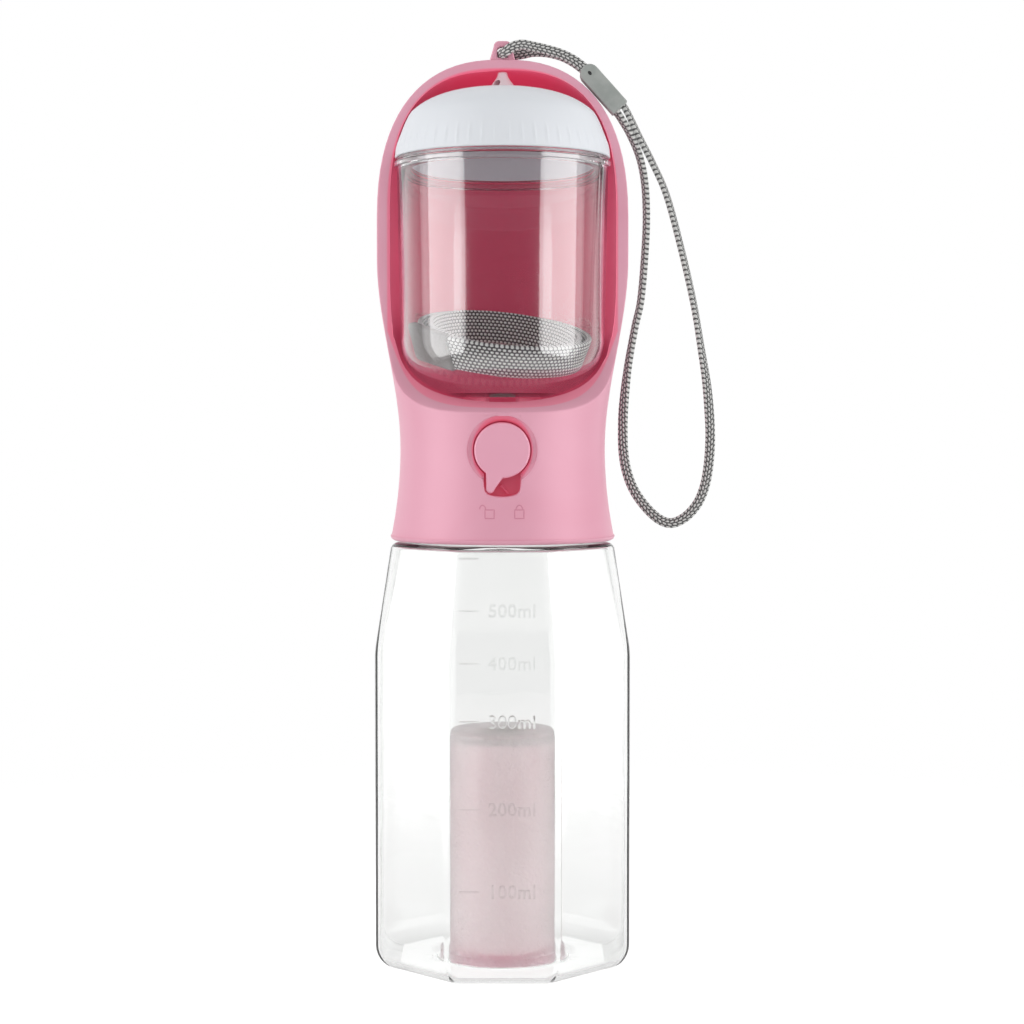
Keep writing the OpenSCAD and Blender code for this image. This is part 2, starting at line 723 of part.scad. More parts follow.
// The stem is thick up to the outlet room and thin beyond, and its front enters the button
stem_step_y = y_outlet + 0.6 - snug;
module button_stem() {
    color("white")
    union() {
        along(y_face + 1.3, stem_step_y, stem_r);
        along(stem_step_y - 0.5, y_inlet + seal_t + clip_t + 1, rod_r);
    }
}
module valve_seal() {
    color("dimgray")
    difference() {
        along(y_inlet, y_inlet + seal_t, seal_r);
        along(y_inlet - over, y_inlet + seal_t + over, rod_r + snug);
    }
}
module seal_clip() {
    color("silver")
    difference() {
        along(y_inlet + seal_t, y_inlet + seal_t + clip_t, 3.2);
        along(y_inlet + seal_t - over, y_inlet + seal_t + clip_t + over, rod_r + snug);
    }
}
spring_y0 = y_washer + washer_t + spring_wire / 2 + 0.05;
spring_y1 = y_gland - spring_wire / 2 - 0.05;
spring_path = [
    for (i = [0 : 8 * spring_curls])
        let (a = 45 * i, t = i / (8 * spring_curls))
        [spring_r * cos(a), spring_y0 + (spring_y1 - spring_y0) * t, z_button + spring_r * sin(a)]
];
module button_spring() {
    color("silver")
    loft(tube_rings(spring_path, spring_wire / 2, 6, [0, 1, 0]));
}

module button() {
    root_reach = 0.9 * button_r;
    root_half = 0.33 * button_r;
    color("lightpink")
    difference() {
        translate([0, 0, z_button]) rotate([0, lock_angle, 0]) translate([0, 0, -z_button]) union() {
            along(y_face, y_cap_back, button_r);
            front_extrude(y_face, y_pointer_back) polygon([
                [-root_half, -root_reach], [root_half, -root_reach],
                [0.93 * pointer_tip_r, -pointer_reach], [-0.93 * pointer_tip_r, -pointer_reach]
            ]);
            translate([0, 0, -pointer_reach]) along(y_face, y_pointer_back, pointer_tip_r);
        }
        along(y_face + 1.2, y_cap_back + over, stem_r + stem_fit);
    }
}

// ---------- cup and lid ----------
function cup_profile(grow, z_bottom) = concat(
    [[0, z_bottom]],
    [for (i = [0 : 8])
        let (z = z_bottom + (z_cup_bowl - z_bottom) * pow(i / 8, 1.6)) [cup_bowl_r_at(z) - grow, z]],
    [[cup_r - grow, z_flange]]
);
module cup() {
    color("white", 0.4)
    difference() {
        union() {
            rotate_extrude() polygon(concat(cup_profile(0, z_cup), [[0, z_flange]]));
            translate([0, 0, z_flange - flange_t]) cylinder(r = flange_r, h = flange_t);
        }
        rotate_extrude() polygon(concat(
            cup_profile(cup_wall, z_cup + cup_wall),
            [[cup_r - cup_wall, z_flange + over], [0, z_flange + over]]
        ));
    }
}
module lid_gasket() {
    color("whitesmoke", 0.7)
    difference() {
        union() {
            translate([0, 0, z_flange]) cylinder(r = lid_r - 0.4, h = lid_gasket_t);
            translate([0, 0, z_flange - lid_plug_h]) cylinder(r = lid_plug_r, h = lid_plug_h + over);
        }
        translate([0, 0, z_flange - lid_plug_h - over])
            cylinder(r = lid_plug_r - lid_wall, h = lid_plug_h + lid_gasket_t + 2 * over);
    }
}
module lid_loop() {
    z0 = z_lid_top - 1.2;
    rise = z_lug_top - z0;
    hole_w = 2.7;
    difference() {
        rotate_extrude($fn = 48) polygon(concat(
            [[0, z0]],
            [for (i = [0 : 7]) let (t = i / 7)
                [lug_top_r + (lug_root_r - lug_top_r) * (1 - smooth(t)), z0 + (rise - 0.6) * t]],
            [[lug_top_r - 0.5, z_lug_top], [0, z_lug_top]]
        ));
        rotate([0, 0, -lug_turn]) translate([0, 3 * lug_root_r, z_lid_top + 1.4]) rotate([90, 0, 0])
            cylinder(d = hole_w, h = 6 * lug_root_r, $fn = 24);
    }
}
// Half outline of the lid, which keeps its gap to the recess and is drawn in by the given depth
function lid_points(draw) = [
    for (p = super_arc(lid_r, lid_h, lid_n, 12))
        let (z = z_lid + p[1])
        [max(0, min(p[0], recess_r_at(z) - cup_gap) - draw * sign(p[0])), z]
];
function lid_rib_points(draw) = [
    for (i = [0 : 3])
        let (z = z_lid + lid_rib_h * i / 3, u = (z - z_lid) / lid_h)
        [min(lid_r * super_r(u, lid_n), recess_r_at(z) - cup_gap) - draw, z]
];
module cup_lid() {
    rib_arc = 2.2;
    color("aliceblue")
    union() {
        difference() {
            rotate_extrude() polygon(concat([[0, z_lid]], lid_points(lid_rib_t)));
            rotate_extrude() polygon(concat(
                [[0, z_lid - over], [lid_plug_r - lid_wall, z_lid - over]],
                shift(super_arc(lid_plug_r - lid_wall, lid_h - lid_wall, lid_n, 8), z_lid)
            ));
        }
        for (k = [0 : lid_ribs - 1])
            rotate([0, 0, 360 * k / lid_ribs]) rotate_extrude(angle = rib_arc)
                polygon(concat(lid_rib_points(0), turned(lid_rib_points(lid_rib_t + 0.3))));
        lid_loop();
    }
}

// ---------- strap in the cup ----------
function strap_swing(a) = cos(a - strap_high);
function strap_point(a, turn) =
    let (r = strap_r + strap_shift * strap_swing(a) - strap_pitch * turn)
    [r * cos(a), r * sin(a), strap_z + strap_tilt * strap_swing(a)];
// Directions of the webbing's width and of its face at an angle round the cup
function strap_width_dir(a) =
    let (lean = strap_lean - strap_lean_swing * strap_swing(a))
    [sin(lean) * cos(a), sin(lean) * sin(a), cos(lean)];
function strap_face_dir(a) =
    let (lean = strap_lean - strap_lean_swing * strap_swing(a))
    [cos(lean) * cos(a), cos(lean) * sin(a), -sin(lean)];
function strap_ring(a, turn, w, t) = [
    for (p = [[w / 2, 0], [w / 2 - strap_edge, t / 2], [strap_edge - w / 2, t / 2],
              [-w / 2, 0], [strap_edge - w / 2, -t / 2], [w / 2 - strap_edge, -t / 2]])
        strap_point(a, turn) + p[0] * strap_width_dir(a) + p[1] * strap_face_dir(a)
];
tip_half_angle = strap_tip_l / 2 / strap_r * 180 / PI;
strap_steps = round(strap_rings * strap_turns);
strap_coil = [
    for (i = [0 : strap_steps])
        let (turn = strap_turns * i / strap_steps, a = strap_start + tip_half_angle + 360 * turn)
        strap_ring(a, turn, strap_w, strap_t)
];
strap_gap = min([
    for (i = [0 : strap_steps - 14], j = [i + 14 : strap_steps])
        min([for (p = strap_coil[i]) min([for (q = strap_coil[j]) norm(p - q)])])
]);
echo(str("least gap between two turns of the strap: ", strap_gap, " mm"));
module cup_strap() {
    color("lightgray")
    loft(strap_coil);
}
module strap_tip() {
    color("gray")
    loft([
        for (i = [0 : 5])
            let (a = strap_start - tip_half_angle + 2 * tip_half_angle * i / 5)
            strap_ring(a, 0, strap_w + 2 * tip_wall, strap_t + 2 * tip_wall)
    ]);
}

// ---------- lanyard ----------
loop_path = [for (p = loop_route) [p[0], y_eye, z_skirt + p[1]]];
hitch_path = [for (p = hitch_route) [p[0], y_eye + p[1], z_skirt + p[2]]];
module lanyard_loop() {
    color("silver")
    loft(tube_rings(smooth_path(loop_path, 1), cord_d / 2, cord_sides, [0, 1, 0]));
}
module lanyard_hitch() {
    color("silver")
    loft(tube_rings(smooth_path(hitch_path, 2), cord_d / 2, cord_sides, [0, 0, 1]));
}
module lanyard_sleeve() {
    color("gray")
    translate([sleeve_top[0], y_eye, z_skirt + sleeve_top[1]]) rotate([0, -sleeve_dir, 0]) {
        translate([sleeve_w / 2, sleeve_t / 2, 0]) rotate([90, 0, 0]) cylinder(d = sleeve_w, h = sleeve_t);
        translate([sleeve_w / 2, -sleeve_t / 2, -sleeve_w / 2])
            cube([sleeve_l - sleeve_w / 2, sleeve_t, sleeve_w]);
    }
}

bottle();
bag_chamber();
bag_cap();
bag_roll();
roll_core();
neck_gasket();
thread_collar();
housing();
valve_body();
valve_end_cap();
valve_screws();
outlet_nozzle();
stem_o_ring();
button_spring();
button_stem();
spring_washer();
valve_seal();
seal_clip();
button();
cup();
cup_strap();
strap_tip();
cup_lid();
lid_gasket();
lanyard_loop();
lanyard_hitch();
lanyard_sleeve();
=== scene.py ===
"""Visual model of a dog travel water bottle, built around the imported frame.

Sizes in the classes are millimetres, with Z up, the open front towards -Y and the origin in the middle
of the bottle's foot. A finished mesh is scaled to metres.
"""

import logging
import math
from dataclasses import dataclass
from enum import Enum
from typing import Any, Callable, Iterable, Sequence

import bmesh
import bpy
from bmesh.types import BMEdge, BMFace, BMVert
from mathutils import Matrix, Vector

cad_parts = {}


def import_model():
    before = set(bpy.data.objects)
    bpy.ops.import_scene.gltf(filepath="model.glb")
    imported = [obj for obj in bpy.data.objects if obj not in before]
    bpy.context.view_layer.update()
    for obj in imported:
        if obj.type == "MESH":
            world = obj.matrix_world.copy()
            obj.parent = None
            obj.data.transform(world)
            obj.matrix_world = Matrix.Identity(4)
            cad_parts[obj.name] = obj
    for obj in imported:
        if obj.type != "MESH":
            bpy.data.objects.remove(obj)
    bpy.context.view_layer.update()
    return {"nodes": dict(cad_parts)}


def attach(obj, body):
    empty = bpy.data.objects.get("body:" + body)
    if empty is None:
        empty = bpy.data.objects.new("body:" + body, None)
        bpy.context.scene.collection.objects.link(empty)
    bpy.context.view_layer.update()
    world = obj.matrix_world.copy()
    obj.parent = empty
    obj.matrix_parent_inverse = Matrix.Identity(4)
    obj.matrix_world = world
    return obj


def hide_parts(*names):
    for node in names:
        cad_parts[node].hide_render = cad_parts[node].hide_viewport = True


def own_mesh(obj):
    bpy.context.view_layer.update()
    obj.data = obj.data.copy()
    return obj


MM = 0.001
WHITE = (1.0, 1.0, 1.0, 1.0)
BLACK = (0.0, 0.0, 0.0, 1.0)
FULL_TURN = 2 * math.pi
LOG = logging.getLogger("water_bottle")

Point = Sequence[float]
Tint = tuple[int, int, int]


def linear(tint: Tint) -> tuple[float, float, float, float]:
    """Turns a display colour of 0 to 255 into the linear colour that a shader takes.

    Args:
        tint: red, green and blue as they look on a display.
    Returns:
        The linear colour with an alpha of 1.
    """
    parts = [c / 255 for c in tint]
    straight = [c / 12.92 if c <= 0.04045 else ((c + 0.055) / 1.055) ** 2.4 for c in parts]
    return (*straight, 1.0)


def smooth(t: float) -> float:
    """Smooth step of a share from 0 to 1."""
    t = min(1.0, max(0.0, t))
    return t * t * (3 - 2 * t)


def blend(a: float, b: float, t: float) -> float:
    """Number a share t of the way from a to b."""
    return a + (b - a) * t


def super_radius(u: float, n: float) -> float:
    """Radius of a unit superellipse at a height u."""
    return max(0.0, 1 - max(0.0, u) ** n) ** (1 / n)


# ---------------------------------------------------------------- shader maths


class Value:
    """A number that varies over a surface and takes part in Python expressions."""

    def __init__(self, nodes: "Nodes", socket: bpy.types.NodeSocket) -> None:
        """Wraps a socket of a shader tree."""
        self.nodes = nodes
        self.socket = socket

    def math(self, operation: str, *others: "Value | float") -> "Value":
        """Applies a Math node's operation to this value and the others."""
        node = self.nodes.node("ShaderNodeMath", {"operation": operation}, dict(enumerate((self, *others))))
        return Value(self.nodes, node.outputs[0])

    def __add__(self, other: "Value | float") -> "Value":
        """Sum."""
        return self.math("ADD", other)

    __radd__ = __add__

    def __sub__(self, other: "Value | float") -> "Value":
        """Difference."""
        return self.math("SUBTRACT", other)

    def __rsub__(self, other: float) -> "Value":
        """Difference from a plain number."""
        return (self * -1).math("ADD", other)

    def __mul__(self, other: "Value | float") -> "Value":
        """Product."""
        return self.math("MULTIPLY", other)

    __rmul__ = __mul__

    def __truediv__(self, other: "Value | float") -> "Value":
        """Quotient."""
        return self.math("DIVIDE", other)

    def fraction(self) -> "Value":
        """Part after the decimal point."""
        return self.math("FRACT")

    def floor(self) -> "Value":
        """Whole part."""
        return self.math("FLOOR")

    def size(self) -> "Value":
        """Value without its sign."""
        return self.math("ABSOLUTE")

    def hump(self) -> "Value":
        """Half a sine wave for a value from 0 to 1."""
        return (self * math.pi).math("SINE")

    def most(self, other: "Value | float") -> "Value":
        """Larger of the two."""
        return self.math("MAXIMUM", other)

    def step(self, low: float, high: float) -> "Value":
        """Smooth rise from 0 at low to 1 at high."""
        node = self.nodes.node(
            "ShaderNodeMapRange",
            {"interpolation_type": "SMOOTHSTEP"},
            {"Value": self, "From Min": low, "From Max": high},
        )
        return Value(self.nodes, node.outputs[0])


class Nodes:
    """A shader tree that is written with calls and expressions."""

    def __init__(self, tree: bpy.types.NodeTree) -> None:
        """Takes over a tree and empties it."""
        self.tree = tree
        tree.nodes.clear()

    def node(self, kind: str, settings: dict[str, Any] | None = None, inputs: dict | None = None) -> Any:
        """Adds a node.

        Args:
            kind: the node's type name.
            settings: its own settings, with "stops" for the stops of a ramp.
            inputs: values, sockets or Values by socket name or number.
        Returns:
            The new node.
        """
        made = self.tree.nodes.new(kind)
        for key, value in (settings or {}).items():
            if key == "stops":
                ramp = made.color_ramp.elements
                while len(ramp) < len(value):
                    ramp.new(0.5)
                for element, (place, tint) in zip(ramp, value):
                    element.position = place
                    element.color = tint
            else:
                setattr(made, key, value)
        for key, value in (inputs or {}).items():
            if isinstance(value, Value):
                self.tree.links.new(value.socket, made.inputs[key])
            elif isinstance(value, bpy.types.NodeSocket):
                self.tree.links.new(value, made.inputs[key])
            else:
                made.inputs[key].default_value = value
        return made

    def noise(self, place: Any, scale: float, detail: float = 2.0, distortion: float = 0.0) -> Value:
        """Noise of 0 to 1 with a scale in cells per metre."""
        settings = {"Vector": place, "Scale": scale, "Detail": detail, "Distortion": distortion}
        return Value(self, self.node("ShaderNodeTexNoise", {}, settings).outputs["Fac"])

    def mix(self, share: Value | float, first: Any, second: Any) -> Any:
        """Colour a share of the way from first to second."""
        inputs = {0: share, 6: first, 7: second}
        return self.node("ShaderNodeMix", {"data_type": "RGBA"}, inputs).outputs[2]

    def bump(self, height: Value, distance: float, strength: float = 1.0) -> Any:
        """Normal of a surface with this height, whose full range is the distance in metres."""
        inputs = {"Height": height, "Distance": distance, "Strength": strength}
        return self.node("ShaderNodeBump", {}, inputs).outputs["Normal"]

    def object_place(self) -> Any:
        """Place on the piece in metres."""
        return self.node("ShaderNodeTexCoord").outputs["Object"]

    def cloth_place(self) -> tuple[Value, Value]:
        """Distance along and across a woven piece, in millimetres."""
        place = self.node("ShaderNodeUVMap", {"uv_map": Form.CLOTH}).outputs[0]
        parts = self.node("ShaderNodeSeparateXYZ", {}, {0: place}).outputs
        return Value(self, parts[0]), Value(self, parts[1])

    def ray(self, kind: str) -> Value:
        """1 for rays of a kind and 0 for others."""
        return Value(self, self.node("ShaderNodeLightPath").outputs[kind])

    def surface(self, shader: Any) -> None:
        """Ends the tree in a shader."""
        target = "World" if isinstance(self.tree.id_data, bpy.types.World) else "Material"
        self.node(f"ShaderNodeOutput{target}", {}, {"Surface": shader})


@dataclass(frozen=True)
class Finish:
    """Finish of a piece, made as a material once."""

    name: str

    def material(self) -> bpy.types.Material:
        """Material of this finish."""
        found = bpy.data.materials.get(self.name)
        if found is not None:
            return found
        made = bpy.data.materials.new(self.name)
        made.use_nodes = True
        nodes = Nodes(made.node_tree)
        nodes.surface(self.shader(nodes))
        return made

    def shader(self, nodes: Nodes) -> Any:
        """Writes the finish into a tree and returns its shader's output."""
        raise NotImplementedError


@dataclass(frozen=True)
class MouldedPlastic(Finish):
    """Satin moulded plastic with a fine grain, and, if told, painted deep rose shade and a painted rose glow
    in its recesses.
    """

    tint: Tint = (240, 175, 195)
    deep: Tint = (234, 160, 182)
    roughness: float = 0.42
    grain: float = 2600.0
    grain_depth: float = 0.000012
    flow: float = 22.0
    recess: bool = False
    # Painted shade and glow of the scoop and the well: the deep rose base colour, the rose of the glow and
    # the glow's strength.
    recess_shade_tint: Tint = (234, 80, 116)
    recess_painted_glow: Tint = (232, 76, 114)
    glow: float = 0.3
    button_z: float = 0.1754
    # Strength of the painted shade in the button's well.
    well_shade_share: float = 0.4

    def shader(self, nodes: Nodes) -> Any:
        """Grain in the roughness and normal, slow flow marks in the colour, and the painted recess shade and
        glow if told.
        """
        place = nodes.object_place()
        grain = nodes.noise(place, self.grain)
        flow = nodes.noise(place, self.flow, 3.0, 0.6)
        rub = nodes.noise(place, 160.0, 4.0)
        shade = flow.step(0.3, 0.75) * 0.55 + grain * 0.12
        tint = nodes.mix(shade, linear(self.tint), linear(self.deep))
        glow = BLACK
        # Painted shade and light: in the scoop and the well the base colour turns deep rose and the same rose
        # glows.
        if self.recess:
            deep = self.painted_recess_shade_share(nodes, place)
            tint = nodes.mix(deep, tint, linear(self.recess_shade_tint))
            glow = nodes.mix(deep, BLACK, linear(self.recess_painted_glow))
        inputs = {
            "Base Color": tint,
            "Emission Color": glow,
            "Emission Strength": self.glow if self.recess else 0.0,
            "Roughness": self.roughness + (rub - 0.5) * 0.12 + (grain - 0.5) * 0.08,
            "Normal": nodes.bump(grain + rub * 0.4, self.grain_depth),
            "Specular IOR Level": 0.45,
        }
        return nodes.node("ShaderNodeBsdfPrincipled", {}, inputs).outputs[0]

    def painted_recess_shade_share(self, nodes: Nodes, place: Any) -> Value:
        """Share of the painted deep rose shade and glow, in the scoop most of all at its back and under its
        roof, and in the well.

        Args:
            nodes: the tree.
            place: place on the piece.
        Returns:
            The share from 0 to 1.
        """
        parts = nodes.node("ShaderNodeSeparateXYZ", {}, {0: place}).outputs
        x, y, z = (Value(nodes, parts[k]) for k in range(3))
        reach = (x * x + y * y).math("SQRT")
        over = (z - 0.253).most(0.0) * 0.765
        power = 2.58
        radius = (reach.math("POWER", power) + over.math("POWER", power)).math("POWER", 1 / power)
        radius = radius + (0.0098 - (z - 0.1885) * 0.36).most(0.0)
        within = (radius * -1).step(-0.0397, -0.0389) * z.step(0.188, 0.1895)
        # Painted shade in the scoop, deeper at its back and under its roof.
        deep = within * (y.step(-0.03, 0.03) * 0.45 + z.step(0.255, 0.29) * 0.2 + 0.35)
        # Painted shade in the button's well and its slot, at part of the full strength.
        low = z - self.button_z
        near = (x * x + low * low).math("SQRT")
        well = (near * -1).step(-0.0165, -0.0155) * (reach * -1).step(-0.0342, -0.0336)
        well = well * (y * -1).step(0.02, 0.022) * (z * -1).step(-0.1872, -0.1868)
        return deep.most(well * self.well_shade_share)


@dataclass(frozen=True)
class ClearPlastic(Finish):
    """Clear plastic that bends what is behind it and lets lamps through."""

    tint: Tint = (252, 253, 253)
    roughness: float = 0.02
    wave: float = 45.0
    wave_depth: float = 0.0002
    pebble: float = 520.0
    pebble_depth: float = 0.0
    haze: float = 0.0
    ior: float = 1.5
    coat: float = 0.0

    def shader(self, nodes: Nodes) -> Any:
        """Slow waves of a blown wall, and pebbles where it is frosted."""
        place = nodes.object_place()
        wave = nodes.noise(place, self.wave, 1.5)
        scuff = nodes.noise(place, 900.0, 3.0)
        normal = nodes.bump(wave, self.wave_depth)
        if self.pebble_depth:
            height = nodes.noise(place, self.pebble, 2.0, 0.4)
            inputs = {"Height": height, "Distance": self.pebble_depth, "Strength": 1.0, "Normal": normal}
            normal = nodes.node("ShaderNodeBump", {}, inputs).outputs["Normal"]
        inputs = {
            "Base Color": nodes.mix(wave, WHITE, linear(self.tint)),
            "Roughness": self.roughness + (scuff - 0.5).most(0.0) * 0.05,
            "IOR": self.ior,
            "Transmission Weight": 1.0,
            "Coat Weight": self.coat,
            "Normal": normal,
        }
        glass = nodes.node("ShaderNodeBsdfPrincipled", {}, inputs).outputs[0]
        if self.haze:
            inputs = {"Color": (0.95, 0.93, 0.93, 1.0), "Normal": normal}
            cloud = nodes.node("ShaderNodeBsdfTranslucent", {}, inputs).outputs[0]
            glass = nodes.node("ShaderNodeMixShader", {}, {0: self.haze, 1: glass, 2: cloud}).outputs[0]
        through = nodes.node("ShaderNodeBsdfTransparent", {}, {"Color": linear((250, 250, 250))}).outputs[0]
        inputs = {0: nodes.ray("Is Shadow Ray"), 1: glass, 2: through}
        return nodes.node("ShaderNodeMixShader", {}, inputs).outputs[0]


@dataclass(frozen=True)
class Rubber(Finish):
    """Soft moulded rubber with a dry, dusty surface."""

    tint: Tint = (158, 163, 159)
    deep: Tint = (142, 148, 144)
    roughness: float = 0.6

    def shader(self, nodes: Nodes) -> Any:
        """Matte base with a fine grain and dust."""
        place = nodes.object_place()
        grain = nodes.noise(place, 3200.0)
        dust = nodes.noise(place, 240.0, 4.0)
        inputs = {
            "Base Color": nodes.mix(dust.step(0.35, 0.7), linear(self.tint), linear(self.deep)),
            "Roughness": self.roughness + (dust - 0.5) * 0.2,
            "Normal": nodes.bump(grain + dust, 0.00003),
            "Sheen Weight": 0.15,
        }
        return nodes.node("ShaderNodeBsdfPrincipled", {}, inputs).outputs[0]


@dataclass(frozen=True)
class Webbing(Finish):
    """Webbing or braid of white and dark yarn, for the strap and the cord."""

    white: Tint = (250, 250, 248)
    dark: Tint = (84, 78, 80)
    pick: float = 1.5
    rows: float = 1.15
    slope: float = 0.0

    def shader(self, nodes: Nodes) -> Any:
        """White floats in a brick pattern on a dark ground."""
        along, across = nodes.cloth_place()
        row = across / self.rows
        shift = row.floor() * 0.5
        float_u = (along / self.pick + shift + across.size() * self.slope).fraction()
        float_v = row.fraction()
        knob = float_u.hump() * float_v.hump()
        fibre = nodes.noise(nodes.object_place(), 5200.0, 3.0)
        white = (knob + (fibre - 0.5) * 0.3).step(0.28, 0.62)
        inputs = {
            "Base Color": nodes.mix(white, linear(self.dark), linear(self.white)),
            "Roughness": 0.62 + (fibre - 0.5) * 0.2,
            "Normal": nodes.bump(knob + fibre * 0.15, 0.0004),
            "Sheen Weight": 0.2,
        }
        return nodes.node("ShaderNodeBsdfPrincipled", {}, inputs).outputs[0]


@dataclass(frozen=True)
class Steel(Finish):
    """Plain drawn steel."""

    tint: Tint = (196, 198, 200)

    def shader(self, nodes: Nodes) -> Any:
        """Metal with fine drawn lines."""
        lines = nodes.noise(nodes.object_place(), 3500.0, 2.0)
        inputs = {
            "Base Color": nodes.mix(lines * 0.4, linear(self.tint), linear((150, 152, 155))),
            "Roughness": 0.26 + lines * 0.12,
            "Metallic": 1.0,
            "Normal": nodes.bump(lines, 0.000008),
        }
        return nodes.node("ShaderNodeBsdfPrincipled", {}, inputs).outputs[0]


@dataclass(frozen=True)
class BagFilm(Finish):
    """Thin pale film wound on a roll, with a faint painted glow for light coming through the film."""

    tint: Tint = (254, 240, 242)
    deep: Tint = (250, 228, 232)

    def shader(self, nodes: Nodes) -> Any:
        """Wrinkles that run up the roll, and slack layers, with the painted glow."""
        place = nodes.object_place()
        stretch = nodes.node("ShaderNodeMapping", {}, {"Vector": place, "Scale": (1.0, 1.0, 0.12)}).outputs[0]
        crease = nodes.noise(stretch, 300.0, 4.0, 0.5)
        inputs = {
            "Base Color": nodes.mix(crease.step(0.35, 0.7), linear(self.tint), linear(self.deep)),
            "Roughness": 0.4 + crease * 0.15,
            "Normal": nodes.bump(crease, 0.0004),
            # Painted light: a faint pink glow for light coming through the film, a little deeper along the
            # wrinkles.
            "Emission Color": nodes.mix(crease, linear((250, 214, 220)), linear((240, 200, 207))),
            "Emission Strength": 0.16,
        }
        return nodes.node("ShaderNodeBsdfPrincipled", {}, inputs).outputs[0]


class Look(Enum):
    """The finishes of the object, each with the record's slot that it stands for."""

    # The housing's pink carries the painted shade and glow of its scoop and well.
    HOUSING = ("housing_pink", MouldedPlastic("PinkSatin", recess=True))
    BUTTON = ("button_pink", MouldedPlastic("ButtonPink", (248, 180, 201), (244, 172, 195), 0.38))
    # Painted shade: a darker copy of the housing's pink for the engraved padlock lines, whose grooves read
    # darker.
    ENGRAVED_SHADED = ("housing_pink", MouldedPlastic("EngravedShadedPink", (222, 145, 167), (216, 138, 160), 0.5))
    BAG_CAP = ("bag_cap_pink", MouldedPlastic("CapPink", (238, 168, 190), (230, 156, 178), 0.45))
    LID = ("lid_white", MouldedPlastic("LidWhite", (240, 243, 248), (234, 238, 243), 0.5))
    # Painted shade and painted pink bounce light: a darker, pinker copy of the lid's white for the loop under
    # the scoop's roof.
    LOOP_PINK_SHADED = ("lid_white", MouldedPlastic("LoopWhitePinkShaded", (236, 214, 220), (230, 206, 213), 0.4))
    INNER = ("inner_white", MouldedPlastic("InnerWhite", (226, 228, 228), (218, 220, 220), 0.5))
    SEAL = ("gasket_white", Rubber("SealWhite", (222, 222, 220), (212, 212, 210)))
    LID_SEAL = ("gasket_clear", ClearPlastic("SealClear", (244, 244, 245), 0.2, 45.0, 0.0001))
    DARK = ("rubber_dark", Rubber("SealDark", (52, 52, 54), (44, 44, 46)))
    GREY = ("rubber_grey", Rubber("RubberGrey", (172, 176, 172), (158, 163, 159)))
    # Painted shade: a darker copy of the grey rubber for the strap's tip, which sits in shade.
    TIP_SHADED = ("rubber_grey", Rubber("TipGreyShaded", (118, 112, 110), (106, 100, 98)))
    BOTTLE = ("bottle_clear", ClearPlastic("BottleClear", (251, 252, 251), 0.03, 38.0, 0.0003))
    MARKS = ("bottle_clear", ClearPlastic("MarkClear", (246, 247, 246), 0.05, 38.0, 0.0001))
    CHAMBER = (
        "chamber_clear",
        ClearPlastic("ChamberFrost", (252, 249, 249), 0.3, 38.0, 0.0002, 800.0, 0.0006, 0.2),
    )
    CUP = ("cup_clear", ClearPlastic("CupClear", (252, 252, 253), 0.01, 30.0, 0.00004, coat=1.0))
    STRAP = ("webbing_grey", Webbing("StrapWeave"))
    CORD = ("cord_grey", Webbing("CordBraid", (226, 226, 223), (96, 96, 96), 1.7, 0.95, 0.35))
    STEEL = ("steel", Steel("DrawnSteel"))
    FILM = ("bag_film", BagFilm("BagFilm"))
    BOARD = ("core_board", Rubber("CoreBoard", (176, 146, 108), (160, 130, 94), 0.8))

    def put_on(self, piece: bpy.types.Object) -> None:
        """Gives a piece this finish."""
        if piece.material_slots:
            for place in piece.material_slots:
                place.material = self.value[1].material()
        else:
            piece.data.materials.append(self.value[1].material())


# ---------------------------------------------------------------- forms


